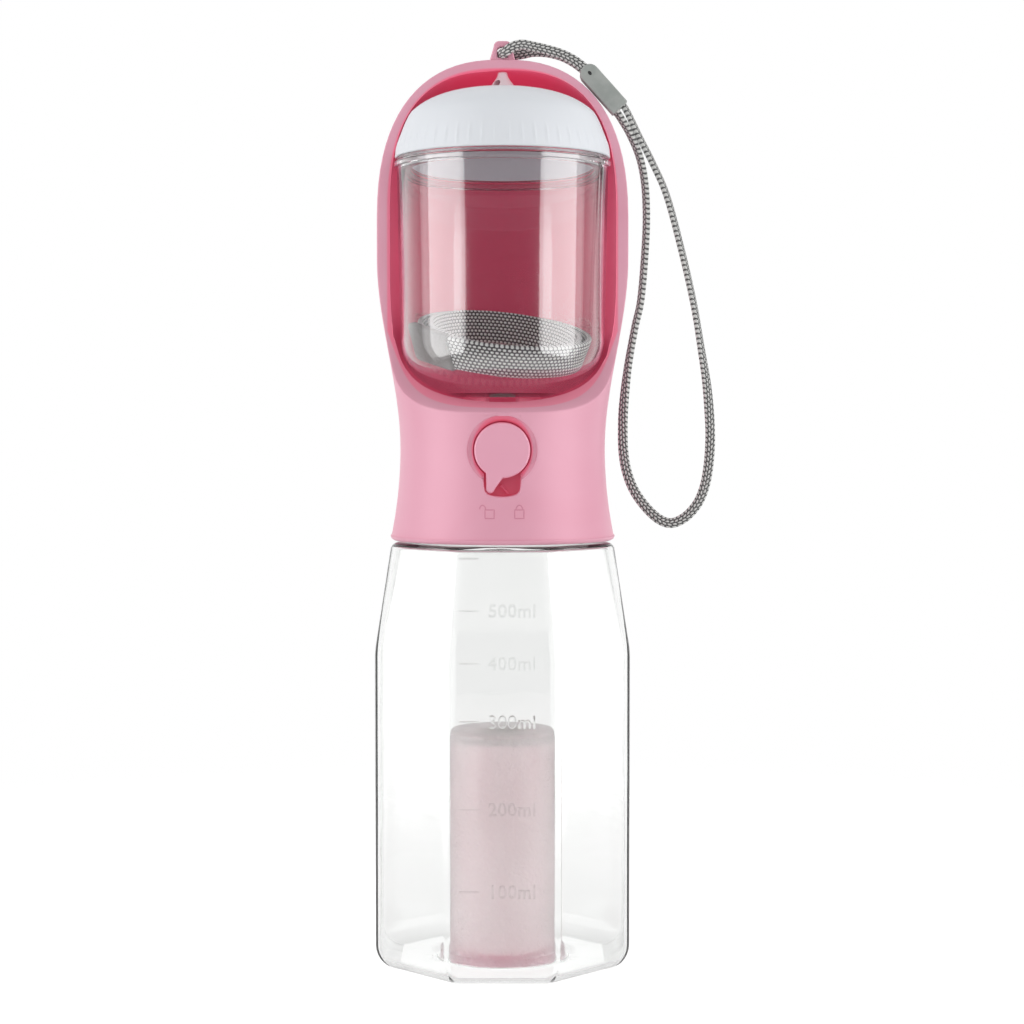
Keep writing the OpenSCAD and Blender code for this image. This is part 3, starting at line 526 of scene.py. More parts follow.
class Form:
    """A mesh in millimetres that grows by operators and ends as a piece."""

    CLOTH = "cloth"

    def __init__(self) -> None:
        """Starts an empty form whose vertices know their place along a profile and a sweep."""
        self.bm = bmesh.new()
        layers = self.bm.verts.layers
        self.tag = layers.float.new("tag")
        self.along = layers.float.new("along")
        self.across = layers.float.new("across")
        self.woven = False

    def chain(
        self, points: Sequence[Point], closed: bool = False, tags: Sequence[float] = ()
    ) -> list[BMEdge]:
        """Adds a line of vertices and its edges.

        Args:
            points: the places of the vertices.
            closed: whether the last one joins the first.
            tags: place of each vertex along its profile.
        Returns:
            The edges in order.
        """
        verts = [self.bm.verts.new(p) for p in points]
        for vert, tag in zip(verts, tags):
            vert[self.tag] = tag
        pairs = list(zip(verts, verts[1:]))
        if closed:
            pairs.append((verts[-1], verts[0]))
        return [self.bm.edges.new(pair) for pair in pairs]

    def spin(self, edges: Sequence[BMEdge], steps: int, angle: float = FULL_TURN) -> list[BMVert]:
        """Turns edges about the upright axis and returns the new vertices."""
        before = set(self.bm.verts)
        geometry = [*edges, *{v for e in edges for v in e.verts}]
        full = abs(angle) > FULL_TURN - 1e-6
        bmesh.ops.spin(
            self.bm, geom=geometry, axis=(0, 0, 1), cent=(0, 0, 0), angle=angle, steps=steps, use_merge=full
        )
        return [v for v in self.bm.verts if v not in before]

    def lathe(self, profile: Sequence[Point], steps: int = 128) -> None:
        """Revolves a profile of radius and height, whose ends lie on the axis or meet each other."""
        closed = profile[0][0] > 1e-6
        edges = self.chain([(r, 0.0, z) for r, z in profile], closed)
        self.spin(edges, steps)
        self.merge()

    def grow(self, edges: Sequence[BMEdge], place: Callable[[BMVert], Point]) -> list[BMEdge]:
        """Extrudes edges and moves each new vertex to where place says."""
        made = bmesh.ops.extrude_edge_only(self.bm, edges=list(edges))["geom"]
        verts = [g for g in made if isinstance(g, BMVert)]
        for vert, co in [(v, place(v)) for v in verts]:
            vert.co = co
        return [g for g in made if isinstance(g, BMEdge)]

    def close(self, edges: Sequence[BMEdge]) -> list[BMFace]:
        """Fills a loop of edges with a fan round its middle."""
        made = bmesh.ops.edgeloop_fill(self.bm, edges=list(edges))["faces"]
        poked = bmesh.ops.poke(self.bm, faces=made)
        return poked["faces"]

    def sweep(
        self, rings: Sequence[Sequence[Point]], across: Sequence[float], along: Sequence[float]
    ) -> None:
        """Runs a closed section through its rings and closes both ends.

        Args:
            rings: places of the section's points, ring by ring.
            across: distance of each point of the section from its middle.
            along: distance of each ring from the start.
        """
        self.woven = True
        count = len(rings[0])
        edges = self.chain(rings[0], True, range(count))
        for edge, spread in zip(edges, across):
            edge.verts[0][self.across] = spread
        for edge, spread in zip(edges, [*across[1:], across[0]]):
            edge.verts[1][self.across] = spread
        ends = [edges]
        for ring, reach in list(zip(rings, along))[1:]:
            edges = self.grow(edges, lambda v, ring=ring: ring[round(v[self.tag]) % count])
            for vert in {v for e in edges for v in e.verts}:
                vert[self.along] = reach
        ends.append(edges)
        for end in ends:
            self.close(end)

    def block(self, size: Point, place: Matrix, edge: float = 0.0) -> None:
        """Adds a box with rounded edges."""
        made = bmesh.ops.create_cube(self.bm, size=1.0)["verts"]
        bmesh.ops.scale(self.bm, vec=size, verts=made)
        if edge:
            edges = list({e for v in made for e in v.link_edges})
            made = self.bevel(edges, edge, 3)
        bmesh.ops.transform(self.bm, matrix=place, verts=made)

    def bevel(self, edges: Iterable[BMEdge], width: float, segments: int = 2) -> list[BMVert]:
        """Rounds edges and returns the vertices of their new faces."""
        made = bmesh.ops.bevel(
            self.bm,
            geom=list(edges),
            offset=width,
            segments=segments,
            profile=0.5,
            affect="EDGES",
            material=-1,
            clamp_overlap=True,
        )
        seen = set(made["verts"])
        stack = list(seen)
        while stack:
            for edge in stack.pop().link_edges:
                for vert in edge.verts:
                    if vert not in seen:
                        seen.add(vert)
                        stack.append(vert)
        return list(seen)

    def merge(self, distance: float = 0.002) -> None:
        """Joins vertices that lie on each other."""
        bmesh.ops.remove_doubles(self.bm, verts=self.bm.verts[:], dist=distance)

    def piece(
        self, name: str, body: str, look: Look, nodes: Sequence[str] = (), sharp: float = 40.0
    ) -> bpy.types.Object:
        """Ends the form as a piece in metres.

        Args:
            name: the piece's name.
            body: the body that it rides on.
            look: its finish.
            nodes: the solids that it stands for.
            sharp: angle in degrees over which an edge is drawn sharp.
        Returns:
            The new object.
        """
        self.merge()
        bmesh.ops.recalc_face_normals(self.bm, faces=self.bm.faces[:])
        bmesh.ops.scale(self.bm, vec=(MM, MM, MM), verts=self.bm.verts[:])
        if self.woven:
            uv = self.bm.loops.layers.uv.new(self.CLOTH)
            for face in self.bm.faces:
                for loop in face.loops:
                    loop[uv].uv = (loop.vert[self.along], loop.vert[self.across])
        for key in ("tag", "along", "across"):
            self.bm.verts.layers.float.remove(self.bm.verts.layers.float[key])
        mesh = bpy.data.meshes.new(name)
        self.bm.to_mesh(mesh)
        self.bm.free()
        mesh.shade_smooth()
        mesh.set_sharp_from_angle(angle=math.radians(sharp))
        piece = bpy.data.objects.new(name, mesh)
        bpy.context.scene.collection.objects.link(piece)
        look.put_on(piece)
        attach(piece, body)
        if nodes:
            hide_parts(*nodes)
        LOG.info("%s on %s, %d faces", name, body, len(mesh.polygons))
        return piece


def curve_through(points: Sequence[Vector], steps: int) -> list[Vector]:
    """Points of a smooth curve through the given ones, with so many steps between each two."""
    line = []
    last = len(points) - 1
    for i in range(last):
        a, b, c, d = (points[min(max(k, 0), last)] for k in (i - 1, i, i + 1, i + 2))
        for k in range(steps):
            t = k / steps
            line.append(
                0.5
                * (2 * b + (c - a) * t + (2 * a - 5 * b + 4 * c - d) * t * t + (3 * b - a - 3 * c + d) * t**3)
            )
    line.append(points[-1])
    return line


def distances(line: Sequence[Vector]) -> list[float]:
    """Distance of each point of a line from its start."""
    reach = [0.0]
    for a, b in zip(line, line[1:]):
        reach.append(reach[-1] + (b - a).length)
    return reach


def way_on(line: Sequence[Vector], i: int) -> Vector:
    """Direction of a line at one of its points."""
    return (line[min(i + 1, len(line) - 1)] - line[max(i - 1, 0)]).normalized()


def oval(width: float, thick: float, squareness: float, sides: int) -> list[tuple[float, float]]:
    """Points of a rounded flat section, as distances across and through it."""
    points = []
    for k in range(sides):
        c, s = math.cos(FULL_TURN * k / sides), math.sin(FULL_TURN * k / sides)
        power = 2 / squareness
        points.append(
            (math.copysign(abs(c) ** power * width / 2, c), math.copysign(abs(s) ** power * thick / 2, s))
        )
    return points


# ---------------------------------------------------------------- studio


@dataclass
class Studio:
    """Camera, white surroundings and two tall soft lamps."""

    distance: float = 740.0
    eye_height: float = 183.0
    aside: float = 3.2
    tilt: float = 2.25
    lens: float = 76.06
    lamp_distance: float = 1000.0
    lamp_azimuth: float = 72.0
    lamp_width: float = 1020.0
    lamp_height: float = 1500.0
    lamp_watts: float = 4.8
    ambient: float = 0.62
    strip: float = 3.2
    floor_seen: float = 0.66
    floor_other: float = 0.34
    lamp_up: float = 300.0
    aim_up: float = 200.0

    def camera(self) -> None:
        """Sets up the camera level with the object, a little above its middle."""
        data = bpy.data.cameras.new("Camera")
        data.lens = self.lens
        data.sensor_width = 36.0
        data.clip_start = 0.05
        data.clip_end = 60.0
        camera = bpy.data.objects.new("Camera", data)
        camera.location = (self.aside * MM, -self.distance * MM, self.eye_height * MM)
        camera.rotation_euler = (math.radians(90 - self.tilt), 0.0, 0.0)
        bpy.context.scene.collection.objects.link(camera)
        bpy.context.scene.camera = camera

    def lamps(self) -> None:
        """Adds one tall soft lamp on each side of the front."""
        for name, side in (("LampLeft", -1), ("LampRight", 1)):
            data = bpy.data.lights.new(name, "AREA")
            data.shape = "RECTANGLE"
            data.size = self.lamp_width * MM
            data.size_y = self.lamp_height * MM
            data.energy = self.lamp_watts
            lamp = bpy.data.objects.new(name, data)
            turn = math.radians(self.lamp_azimuth)
            reach = self.lamp_distance * MM
            lamp.location = (side * reach * math.sin(turn), -reach * math.cos(turn), self.lamp_up * MM)
            aim = Vector((0.0, 0.0, self.aim_up * MM)) - lamp.location
            lamp.rotation_euler = aim.to_track_quat("-Z", "Y").to_euler()
            bpy.context.scene.collection.objects.link(lamp)

    def world(self) -> None:
        """White behind the object, and dimmer in front of it for what the surfaces reflect."""
        world = bpy.data.worlds.new("Surroundings")
        world.use_nodes = True
        bpy.context.scene.world = world
        nodes = Nodes(world.node_tree)
        way = nodes.node("ShaderNodeTexCoord").outputs["Generated"]
        parts = nodes.node("ShaderNodeSeparateXYZ", {}, {0: way}).outputs
        ahead = Value(nodes, parts[1])
        sideways = Value(nodes, parts[0]).size()
        tall = (Value(nodes, parts[2]).size() * -1).step(-0.55, -0.5)
        strip = sideways.step(0.64, 0.67) * (ahead * -1).step(0.02, 0.06) * tall * self.strip
        direct = 1 - nodes.ray("Diffuse Depth").step(0.0, 1.0)
        through = nodes.ray("Is Transmission Ray") * direct
        glossy = nodes.ray("Is Glossy Ray") * direct * (1 - through)
        reflected = glossy * (ahead.step(0.1, 0.7) * 0.92 + 0.05 + strip)
        diffuse = (1 - glossy.most(through)) * self.ambient
        straight = 1 - nodes.ray("Glossy Depth").step(0.0, 1.0)
        seen = through * (ahead.step(-0.9, -0.2) * 0.98 + 0.03).most(straight)
        level = nodes.ray("Is Camera Ray").most(seen).most(reflected)
        level = level.most(diffuse)
        inputs = {"Color": WHITE, "Strength": level}
        nodes.surface(nodes.node("ShaderNodeBackground", {}, inputs).outputs[0])

    def floor(self) -> None:
        """Adds the pale floor, which is white to the camera but for the object's shadow."""
        form = bmesh.new()
        bmesh.ops.create_grid(form, x_segments=1, y_segments=1, size=4.0)
        mesh = bpy.data.meshes.new("Floor")
        form.to_mesh(mesh)
        form.free()
        floor = bpy.data.objects.new("Floor", mesh)
        bpy.context.scene.collection.objects.link(floor)
        made = bpy.data.materials.new("FloorWhite")
        made.use_nodes = True
        nodes = Nodes(made.node_tree)
        dust = nodes.noise(nodes.object_place(), 40.0)
        inputs = {
            "Base Color": nodes.mix(dust, (0.8, 0.8, 0.8, 1.0), (0.78, 0.78, 0.78, 1.0)),
            "Roughness": 0.9,
        }
        matte = nodes.node("ShaderNodeBsdfPrincipled", {}, inputs).outputs[0]
        other = nodes.ray("Is Transmission Ray").most(nodes.ray("Is Glossy Ray")) * self.floor_other
        glow = nodes.mix((nodes.ray("Is Camera Ray") * self.floor_seen).most(other), BLACK, WHITE)
        lift = nodes.node("ShaderNodeEmission", {}, {"Color": glow}).outputs[0]
        lit = nodes.node("ShaderNodeAddShader", {}, {0: matte, 1: lift}).outputs[0]
        reach = nodes.node("ShaderNodeVectorMath", {"operation": "LENGTH"}, {0: nodes.object_place()})
        away = Value(nodes, reach.outputs["Value"]).step(0.12, 0.45)
        clear = nodes.node("ShaderNodeBsdfTransparent").outputs[0]
        nodes.surface(nodes.node("ShaderNodeMixShader", {}, {0: away, 1: lit, 2: clear}).outputs[0])
        floor.data.materials.append(made)

    def build(self) -> None:
        """Sets the stage and the view's colour handling."""
        self.lamps()
        self.world()
        self.floor()
        bpy.context.scene.view_settings.view_transform = "Standard"


# ---------------------------------------------------------------- lanyard


@dataclass
class Lanyard:
    """Flat braided wrist loop, hitched through the eye and held by a rubber sleeve."""

    plane_y: float = 0.75
    base_z: float = 144.5
    width: float = 3.4
    thick: float = 2.0
    loop: tuple = (
        (39.8, 149.2), (41.2, 147.6), (43.0, 144.4), (46.4, 137.4), (51.2, 128.0), (56.0, 117.0),
        (61.0, 98.8), (65.2, 80.6), (68.0, 64.2), (69.8, 52.8), (70.8, 41.6), (71.0, 33.2), (70.4, 24.8),
        (69.0, 17.6), (66.4, 11.8), (62.2, 7.4), (57.6, 5.6), (53.2, 7.2), (48.6, 11.6), (44.8, 17.2),
        (42.4, 23.6), (41.3, 30.4), (41.1, 38.8), (41.5, 47.2), (42.9, 59.6), (45.2, 72.6), (47.2, 82.0),
        (48.6, 98.8), (49.0, 110.6), (48.4, 121.6), (46.6, 130.4), (43.4, 138.0), (40.6, 142.8),
        (38.8, 145.5), (37.5, 147.0),
    )  # fmt: skip
    hitch: tuple = (
        (28.4, -1.7, 159.6), (24.4, -1.7, 162.6), (20.0, -1.7, 164.8), (15.0, -1.7, 166.3),
        (10.4, -2.0, 167.3), (6.6, -3.0, 167.8), (3.4, -3.9, 166.9), (1.0, -3.4, 165.4),
        (-0.2, -1.8, 164.9), (-0.4, 0.0, 164.8), (-0.2, 1.8, 164.9), (1.0, 3.4, 165.4),
        (3.4, 3.9, 165.4), (6.6, 3.0, 165.6), (10.4, 2.0, 166.2), (15.0, 1.7, 166.0),
        (20.0, 1.7, 164.8), (24.4, 1.7, 162.6), (28.4, 1.7, 159.6),
    )  # fmt: skip
    sleeve_top: tuple[float, float] = (27.4, 160.6)
    sleeve_slope: float = -48.0
    sleeve_length: float = 18.8
    sleeve_width: float = 6.4

    def line(self, points: Sequence[Point], steps: int) -> list[Vector]:
        """Smooth route through points given in the lanyard's plane or about it."""
        full = [p if len(p) == 3 else (p[0], 0.0, p[1]) for p in points]
        placed = [Vector((x, self.plane_y + y, self.base_z + z)) for x, y, z in full]
        return curve_through(placed, steps)

    def cord(
        self, name: str, node: str, line: list[Vector], turn: Callable[[float], float]
    ) -> None:
        """Args:
            name: the piece's name.
            node: the solid that it stands for.
            line: its route.
            turn: angle of its flat side from the lanyard's plane, for a share of its length.
        """
        section = oval(self.width, self.thick, 2.6, 14)
        reach = distances(line)
        rings = []
        for i, point in enumerate(line):
            ahead = way_on(line, i)
            out = Vector((0.0, 1.0, 0.0))
            out = (out - ahead * out.dot(ahead)).normalized()
            side = ahead.cross(out)
            angle = turn(reach[i] / reach[-1])
            wide = side * math.cos(angle) + out * math.sin(angle)
            flat = ahead.cross(wide)
            rings.append([point + wide * a + flat * b for a, b in section])
        form = Form()
        form.sweep(rings, [a for a, _ in section], reach)
        piece = form.piece(name, "housing", Look.CORD, [node], 60.0)
        LOG.info("%s is %.1f mm long", name, reach[-1])
        tuple(line[0] * MM)
        [tuple(p * MM) for p in line]

    def sleeve_place(self) -> Matrix:
        """Place of the sleeve's upper end and its slope."""
        x, z = self.sleeve_top
        place = Matrix.Translation((x, self.plane_y, self.base_z + z))
        return place @ Matrix.Rotation(math.radians(-self.sleeve_slope), 4, "Y")

    def sleeve(self) -> bpy.types.Object:
        """Makes the sleeve with its round upper end and small moulded hole."""
        half = self.sleeve_width / 2
        form = Form()
        outline = []
        for k in range(13):
            a = math.pi / 2 + math.pi * k / 12
            outline.append((half + half * math.cos(a), half * math.sin(a)))
        outline += [(self.sleeve_length, -half), (self.sleeve_length, half)]
        edges = form.chain([(x, -half, z) for x, z in outline], True)
        front = bmesh.ops.edgeloop_fill(form.bm, edges=edges)["faces"]
        grown = bmesh.ops.extrude_face_region(form.bm, geom=front)["geom"]
        verts = [g for g in grown if isinstance(g, BMVert)]
        bmesh.ops.translate(form.bm, vec=(0.0, 2 * half, 0.0), verts=verts)
        form.bevel(form.bm.edges[:], 1.1, 3)
        bmesh.ops.transform(form.bm, matrix=self.sleeve_place(), verts=form.bm.verts[:])
        return form.piece("LanyardSleeve", "housing", Look.GREY, ["lanyard_sleeve"])

    def twist(self, t: float) -> float:
        """Angle of the loop's flat side from its plane, which faces the front at the bottom of the loop."""
        return 1.15 * smooth((abs(t - 0.5) - 0.08) / 0.16)

    def hole(self) -> None:
        """Makes the small moulded hole near the sleeve's upper end, with its raised rim; the hole is a flat
        dark disc of painted shade, not a cut.
        """
        half = self.sleeve_width / 2
        place = self.sleeve_place()
        place = place @ Matrix.Translation((3.2, -half, 0.0)) @ Matrix.Rotation(math.pi / 2, 4, "X")
        place = place @ Matrix.Diagonal((1.3, 0.9, 1.0, 1.0))
        rim = [(0.62, -0.2), (1.0, -0.2), (0.95, 0.06), (0.8, 0.1), (0.62, 0.02)]
        for name, look, profile in (
            # Painted shade: a flat dark rubber disc stands in for the hole's dark inside.
            ("SleeveHole", Look.DARK, [(0.0, -0.2), (0.66, -0.2), (0.66, 0.01), (0.0, 0.01)]),
            ("SleeveHoleRim", Look.GREY, rim),
        ):
            form = Form()
            form.lathe(profile, 32)
            bmesh.ops.transform(form.bm, matrix=place, verts=form.bm.verts[:])
            form.piece(name, "housing", look)

    def build(self) -> None:
        """Makes the sleeve and both stretches of the cord."""
        sleeve = self.sleeve()
        self.hole()
        self.cord("LanyardLoop", "lanyard_loop", self.line(self.loop, 8), self.twist)
        self.cord("LanyardHitch", "lanyard_hitch", self.line(self.hitch, 8), lambda t: 0.0)


# ---------------------------------------------------------------- bottle


@dataclass
class Bottle:
    """Blown octagonal bottle with moulded marks, and the frosted chamber in its foot."""

    across_flats: float = 85.6
    straight: float = 108.0
    height: float = 144.0
    lean: float = 4.9
    wall: float = 1.6
    foot_round: float = 8.5
    corner: float = 5.0
    shoulder_corner: float = 15.0
    shoulder_round: float = 2.5
    neck_radius: float = 31.0
    neck_height: float = 9.5
    root_radius: float = 21.2
    chamber_radius: float = 18.5
    chamber_height: float = 78.0
    chamber_wall: float = 1.5
    per_corner: int = 6
    per_flat: int = 4

    def ring(self, across: float, corner: float, z: float) -> list[Vector]:
        """Points of an octagon with round corners.

        Args:
            across: width across flats.
            corner: radius of the corners.
            z: height of the ring.
        Returns:
            The points, counter-clockwise from a corner's start.
        """
        corner = min(corner, across / 2 * 0.97)
        reach = (across / 2 - corner) / math.cos(math.pi / 8)
        points = []
        for side in range(8):
            middle = math.radians(22.5 + 45 * side)
            centre = Vector((reach * math.cos(middle), reach * math.sin(middle), z))
            arc = []
            for i in range(self.per_corner + 1):
                a = middle + math.radians(45 * i / self.per_corner - 22.5)
                arc.append(centre + Vector((corner * math.cos(a), corner * math.sin(a), 0.0)))
            points.append(arc)
        full = []
        for side, arc in enumerate(points):
            full += arc
            after = points[(side + 1) % 8][0]
            full += [arc[-1].lerp(after, k / self.per_flat) for k in range(1, self.per_flat)]
        return full

    def circle(self, radius: float, z: float) -> list[Vector]:
        """Points of a circle that lie in line with the octagon's points."""
        like = self.ring(self.across_flats, self.corner, 0.0)
        return [Vector((p.x, p.y, 0.0)).normalized() * radius + Vector((0, 0, z)) for p in like]

    def rings(self) -> list[list[Vector]]:
        """Rings of the wall's outside, from the hole in the foot up to the neck's mouth."""
        rings = [self.circle(self.root_radius + 0.1, 0.35), self.circle(self.root_radius + 0.6, 0.0)]
        foot = self.across_flats - 2 * self.foot_round
        for share in (0.45, 0.9):
            flat = self.ring(foot, 1.2, 0.0)
            inner = self.circle(self.root_radius + 0.6, 0.0)
            rings.append([a.lerp(b, share) for a, b in zip(inner, flat)])
        for i in range(9):
            t = math.pi / 2 * i / 8
            draw = self.foot_round * (1 - math.sin(t))
            corner = max(1.2, self.corner - draw)
            rings.append(self.ring(self.across_flats - 2 * draw, corner, self.foot_round * (1 - math.cos(t))))
        for z in (12.0, 30.0, 50.0, 70.0, 90.0, 104.0, 106.6, 109.4, 112.0, 120.0, 130.0, 138.0):
            rings.append(self.wall_ring(z))
        for i in range(5):
            t = math.pi / 2 * i / 4
            draw = self.shoulder_round * (1 - math.cos(t))
            across = self.across_flats - 2 * self.lean - 2 * draw
            z = self.height - self.shoulder_round * (1 - math.sin(t))
            rings.append(self.ring(across, self.shoulder_corner, z))
        end = self.neck_height
        for grow, up in ((1.2, 0.0), (0.3, 0.3), (0.0, 1.2), (0.0, end - 0.4), (-0.4, end)):
            rings.append(self.circle(self.neck_radius + grow, self.height + up))
        return rings

    def lean_share(self, z: float) -> float:
        """How far the side wall has leant in at a height, from 0 to 1 at the shoulder."""
        return max(0.0, (z - self.straight) / (self.height - self.shoulder_round - self.straight))

    def wall_ring(self, z: float) -> list[Vector]:
        """Ring of the side wall, which leans in above its straight part."""
        t = self.lean_share(z)
        across = self.across_flats - 2 * self.lean * t
        return self.ring(across, blend(self.corner, self.shoulder_corner, t), z)

    def body(self) -> None:
        """Makes the bottle's wall."""
        form = Form()
        rings = self.rings()
        edges = form.chain(rings[0], True, range(len(rings[0])))
        for ring in rings[1:]:
            edges = form.grow(edges, lambda v, ring=ring: ring[round(v[form.tag])])
        form.merge()
        bmesh.ops.recalc_face_normals(form.bm, faces=form.bm.faces[:])
        if sum(f.normal.dot(f.calc_center_median()) > 0 for f in form.bm.faces) < len(form.bm.faces) / 2:
            bmesh.ops.reverse_faces(form.bm, faces=form.bm.faces[:])
        piece = form.piece("BottleWall", "bottle", Look.BOTTLE, ["bottle"], 50.0)
        wall = piece.modifiers.new("Wall", "SOLIDIFY")
        wall.thickness = self.wall * MM
        wall.offset = -1.0

    def chamber(self) -> None:
        """Makes the frosted sleeve that keeps the bags dry."""
        out = self.chamber_radius + self.chamber_wall
        top = self.chamber_height + self.chamber_wall
        lip = 5.0
        profile = [
            (0.0, self.chamber_height), (self.chamber_radius - 2.0, self.chamber_height),
            (self.chamber_radius, self.chamber_height - 2.0), (self.chamber_radius, 3.1),
            (self.chamber_radius + 1.2, 3.1), (self.chamber_radius + 1.2, 1.5), (self.chamber_radius, 1.5),
            (self.chamber_radius, 0.3), (self.chamber_radius + 0.3, 0.0), (self.root_radius, 0.0),
            (self.root_radius, lip - 0.5), (self.root_radius - 0.6, lip),
            (out + 0.4, lip + 0.3), (out, lip + 1),
            (out, 30.0), (out, 55.0), (out, top - 2.6), (out - 0.8, top - 0.8), (out - 2.6, top), (0.0, top),
        ]  # fmt: skip
        form = Form()
        form.lathe(profile, 128)
        form.piece("BagChamber", "bottle", Look.CHAMBER, ["bag_chamber"], 35.0)

    def flat_y(self, z: float) -> float:
        """Y of the front flat at a height."""
        return -(self.across_flats / 2 - self.lean * self.lean_share(z))

    def marks(self) -> None:
        """Moulds the plain graduation lines and numbers on the front flat."""
        form = Form()
        for amount, z in ((500, 123.4), (400, 106.4), (300, 87.5), (200, 58.9), (100, 31.95), (None, 140.3)):
            y = self.flat_y(z)
            slope = math.atan2(self.flat_y(z + 1) - y, 1.0)
            turn = Matrix.Rotation(-slope, 4, "X")
            line = Matrix.Translation((-10.8, y + 0.1, z)) @ turn
            form.block((6.4, 0.5, 0.55), line, 0.12)
            if amount is None:
                continue
            curve = bpy.data.curves.new("Marks", "FONT")
            curve.body = f"{amount}ml"
            curve.size = 6.0
            curve.extrude = 0.25
            curve.bevel_depth = 0.08
            curve.resolution_u = 4
            curve.space_character = 1.06
            text = bpy.data.objects.new("Marks", curve)
            mesh = text.to_mesh()
            place = Matrix.Translation((-4.6, y + 0.1, z - 2.0)) @ turn @ Matrix.Rotation(math.pi / 2, 4, "X")
            mesh.transform(place)
            form.bm.from_mesh(mesh)
            text.to_mesh_clear()
            bpy.data.objects.remove(text)
            bpy.data.curves.remove(curve)
        form.piece("BottleMarks", "bottle", Look.MARKS)

    def thread(self) -> None:
        """Runs the thread's low ridge round the neck."""
        steps = 240
        rings, reach = [], []
        for k in range(steps + 1):
            a = 1.7 * FULL_TURN * k / steps
            high = 0.45 * smooth(min(k, steps - k) / 16)
            z = self.height + 2.2 + 2.6 * a / FULL_TURN
            section = ((-0.3, -0.8), (high, -0.2), (high, 0.2), (-0.3, 0.8))
            radius = self.neck_radius
            places = [(radius + r, z + up) for r, up in section]
            rings.append([Vector((r * math.cos(a), r * math.sin(a), up)) for r, up in places])
            reach.append(a * radius)
        form = Form()
        form.sweep(rings, [0.0] * 4, reach)
        form.piece("NeckThread", "bottle", Look.BOTTLE)

    def build(self) -> None:
        """Makes the bottle, its thread, its chamber and its marks."""
        self.body()
        self.thread()
        self.chamber()
        self.marks()


@dataclass
class Bags:
    """Roll of waste bags."""

    height: float = 72.0
    core: float = 8.05
    floor: float = 3.8

    def roll(self) -> None:
        """Makes the roll with slack outer layers and slightly uneven ends."""
        form = Form()
        profile = [(self.core, self.floor), (self.core, self.floor + self.height)]
        top = self.floor + self.height
        layers = (9.0, 10.5, 12.0, 13.5, 14.8, 15.8)
        profile += [(r, top - 0.25 * (k % 2)) for k, r in enumerate(layers)]
        profile += [(16.3, top - 0.3), (16.45, top - 1.0)]
        profile += [(16.45, self.floor + 1.0), (16.3, self.floor + 0.3)]
        profile += [(r, self.floor + 0.25 * (k % 2)) for k, r in enumerate(reversed(layers))]
        form.lathe(profile, 96)
        form.piece("BagRoll", "bag_roll", Look.FILM, ["bag_roll"], 50.0)

    def build(self) -> None:
        """Makes the roll."""
        self.roll()


# ---------------------------------------------------------------- housing


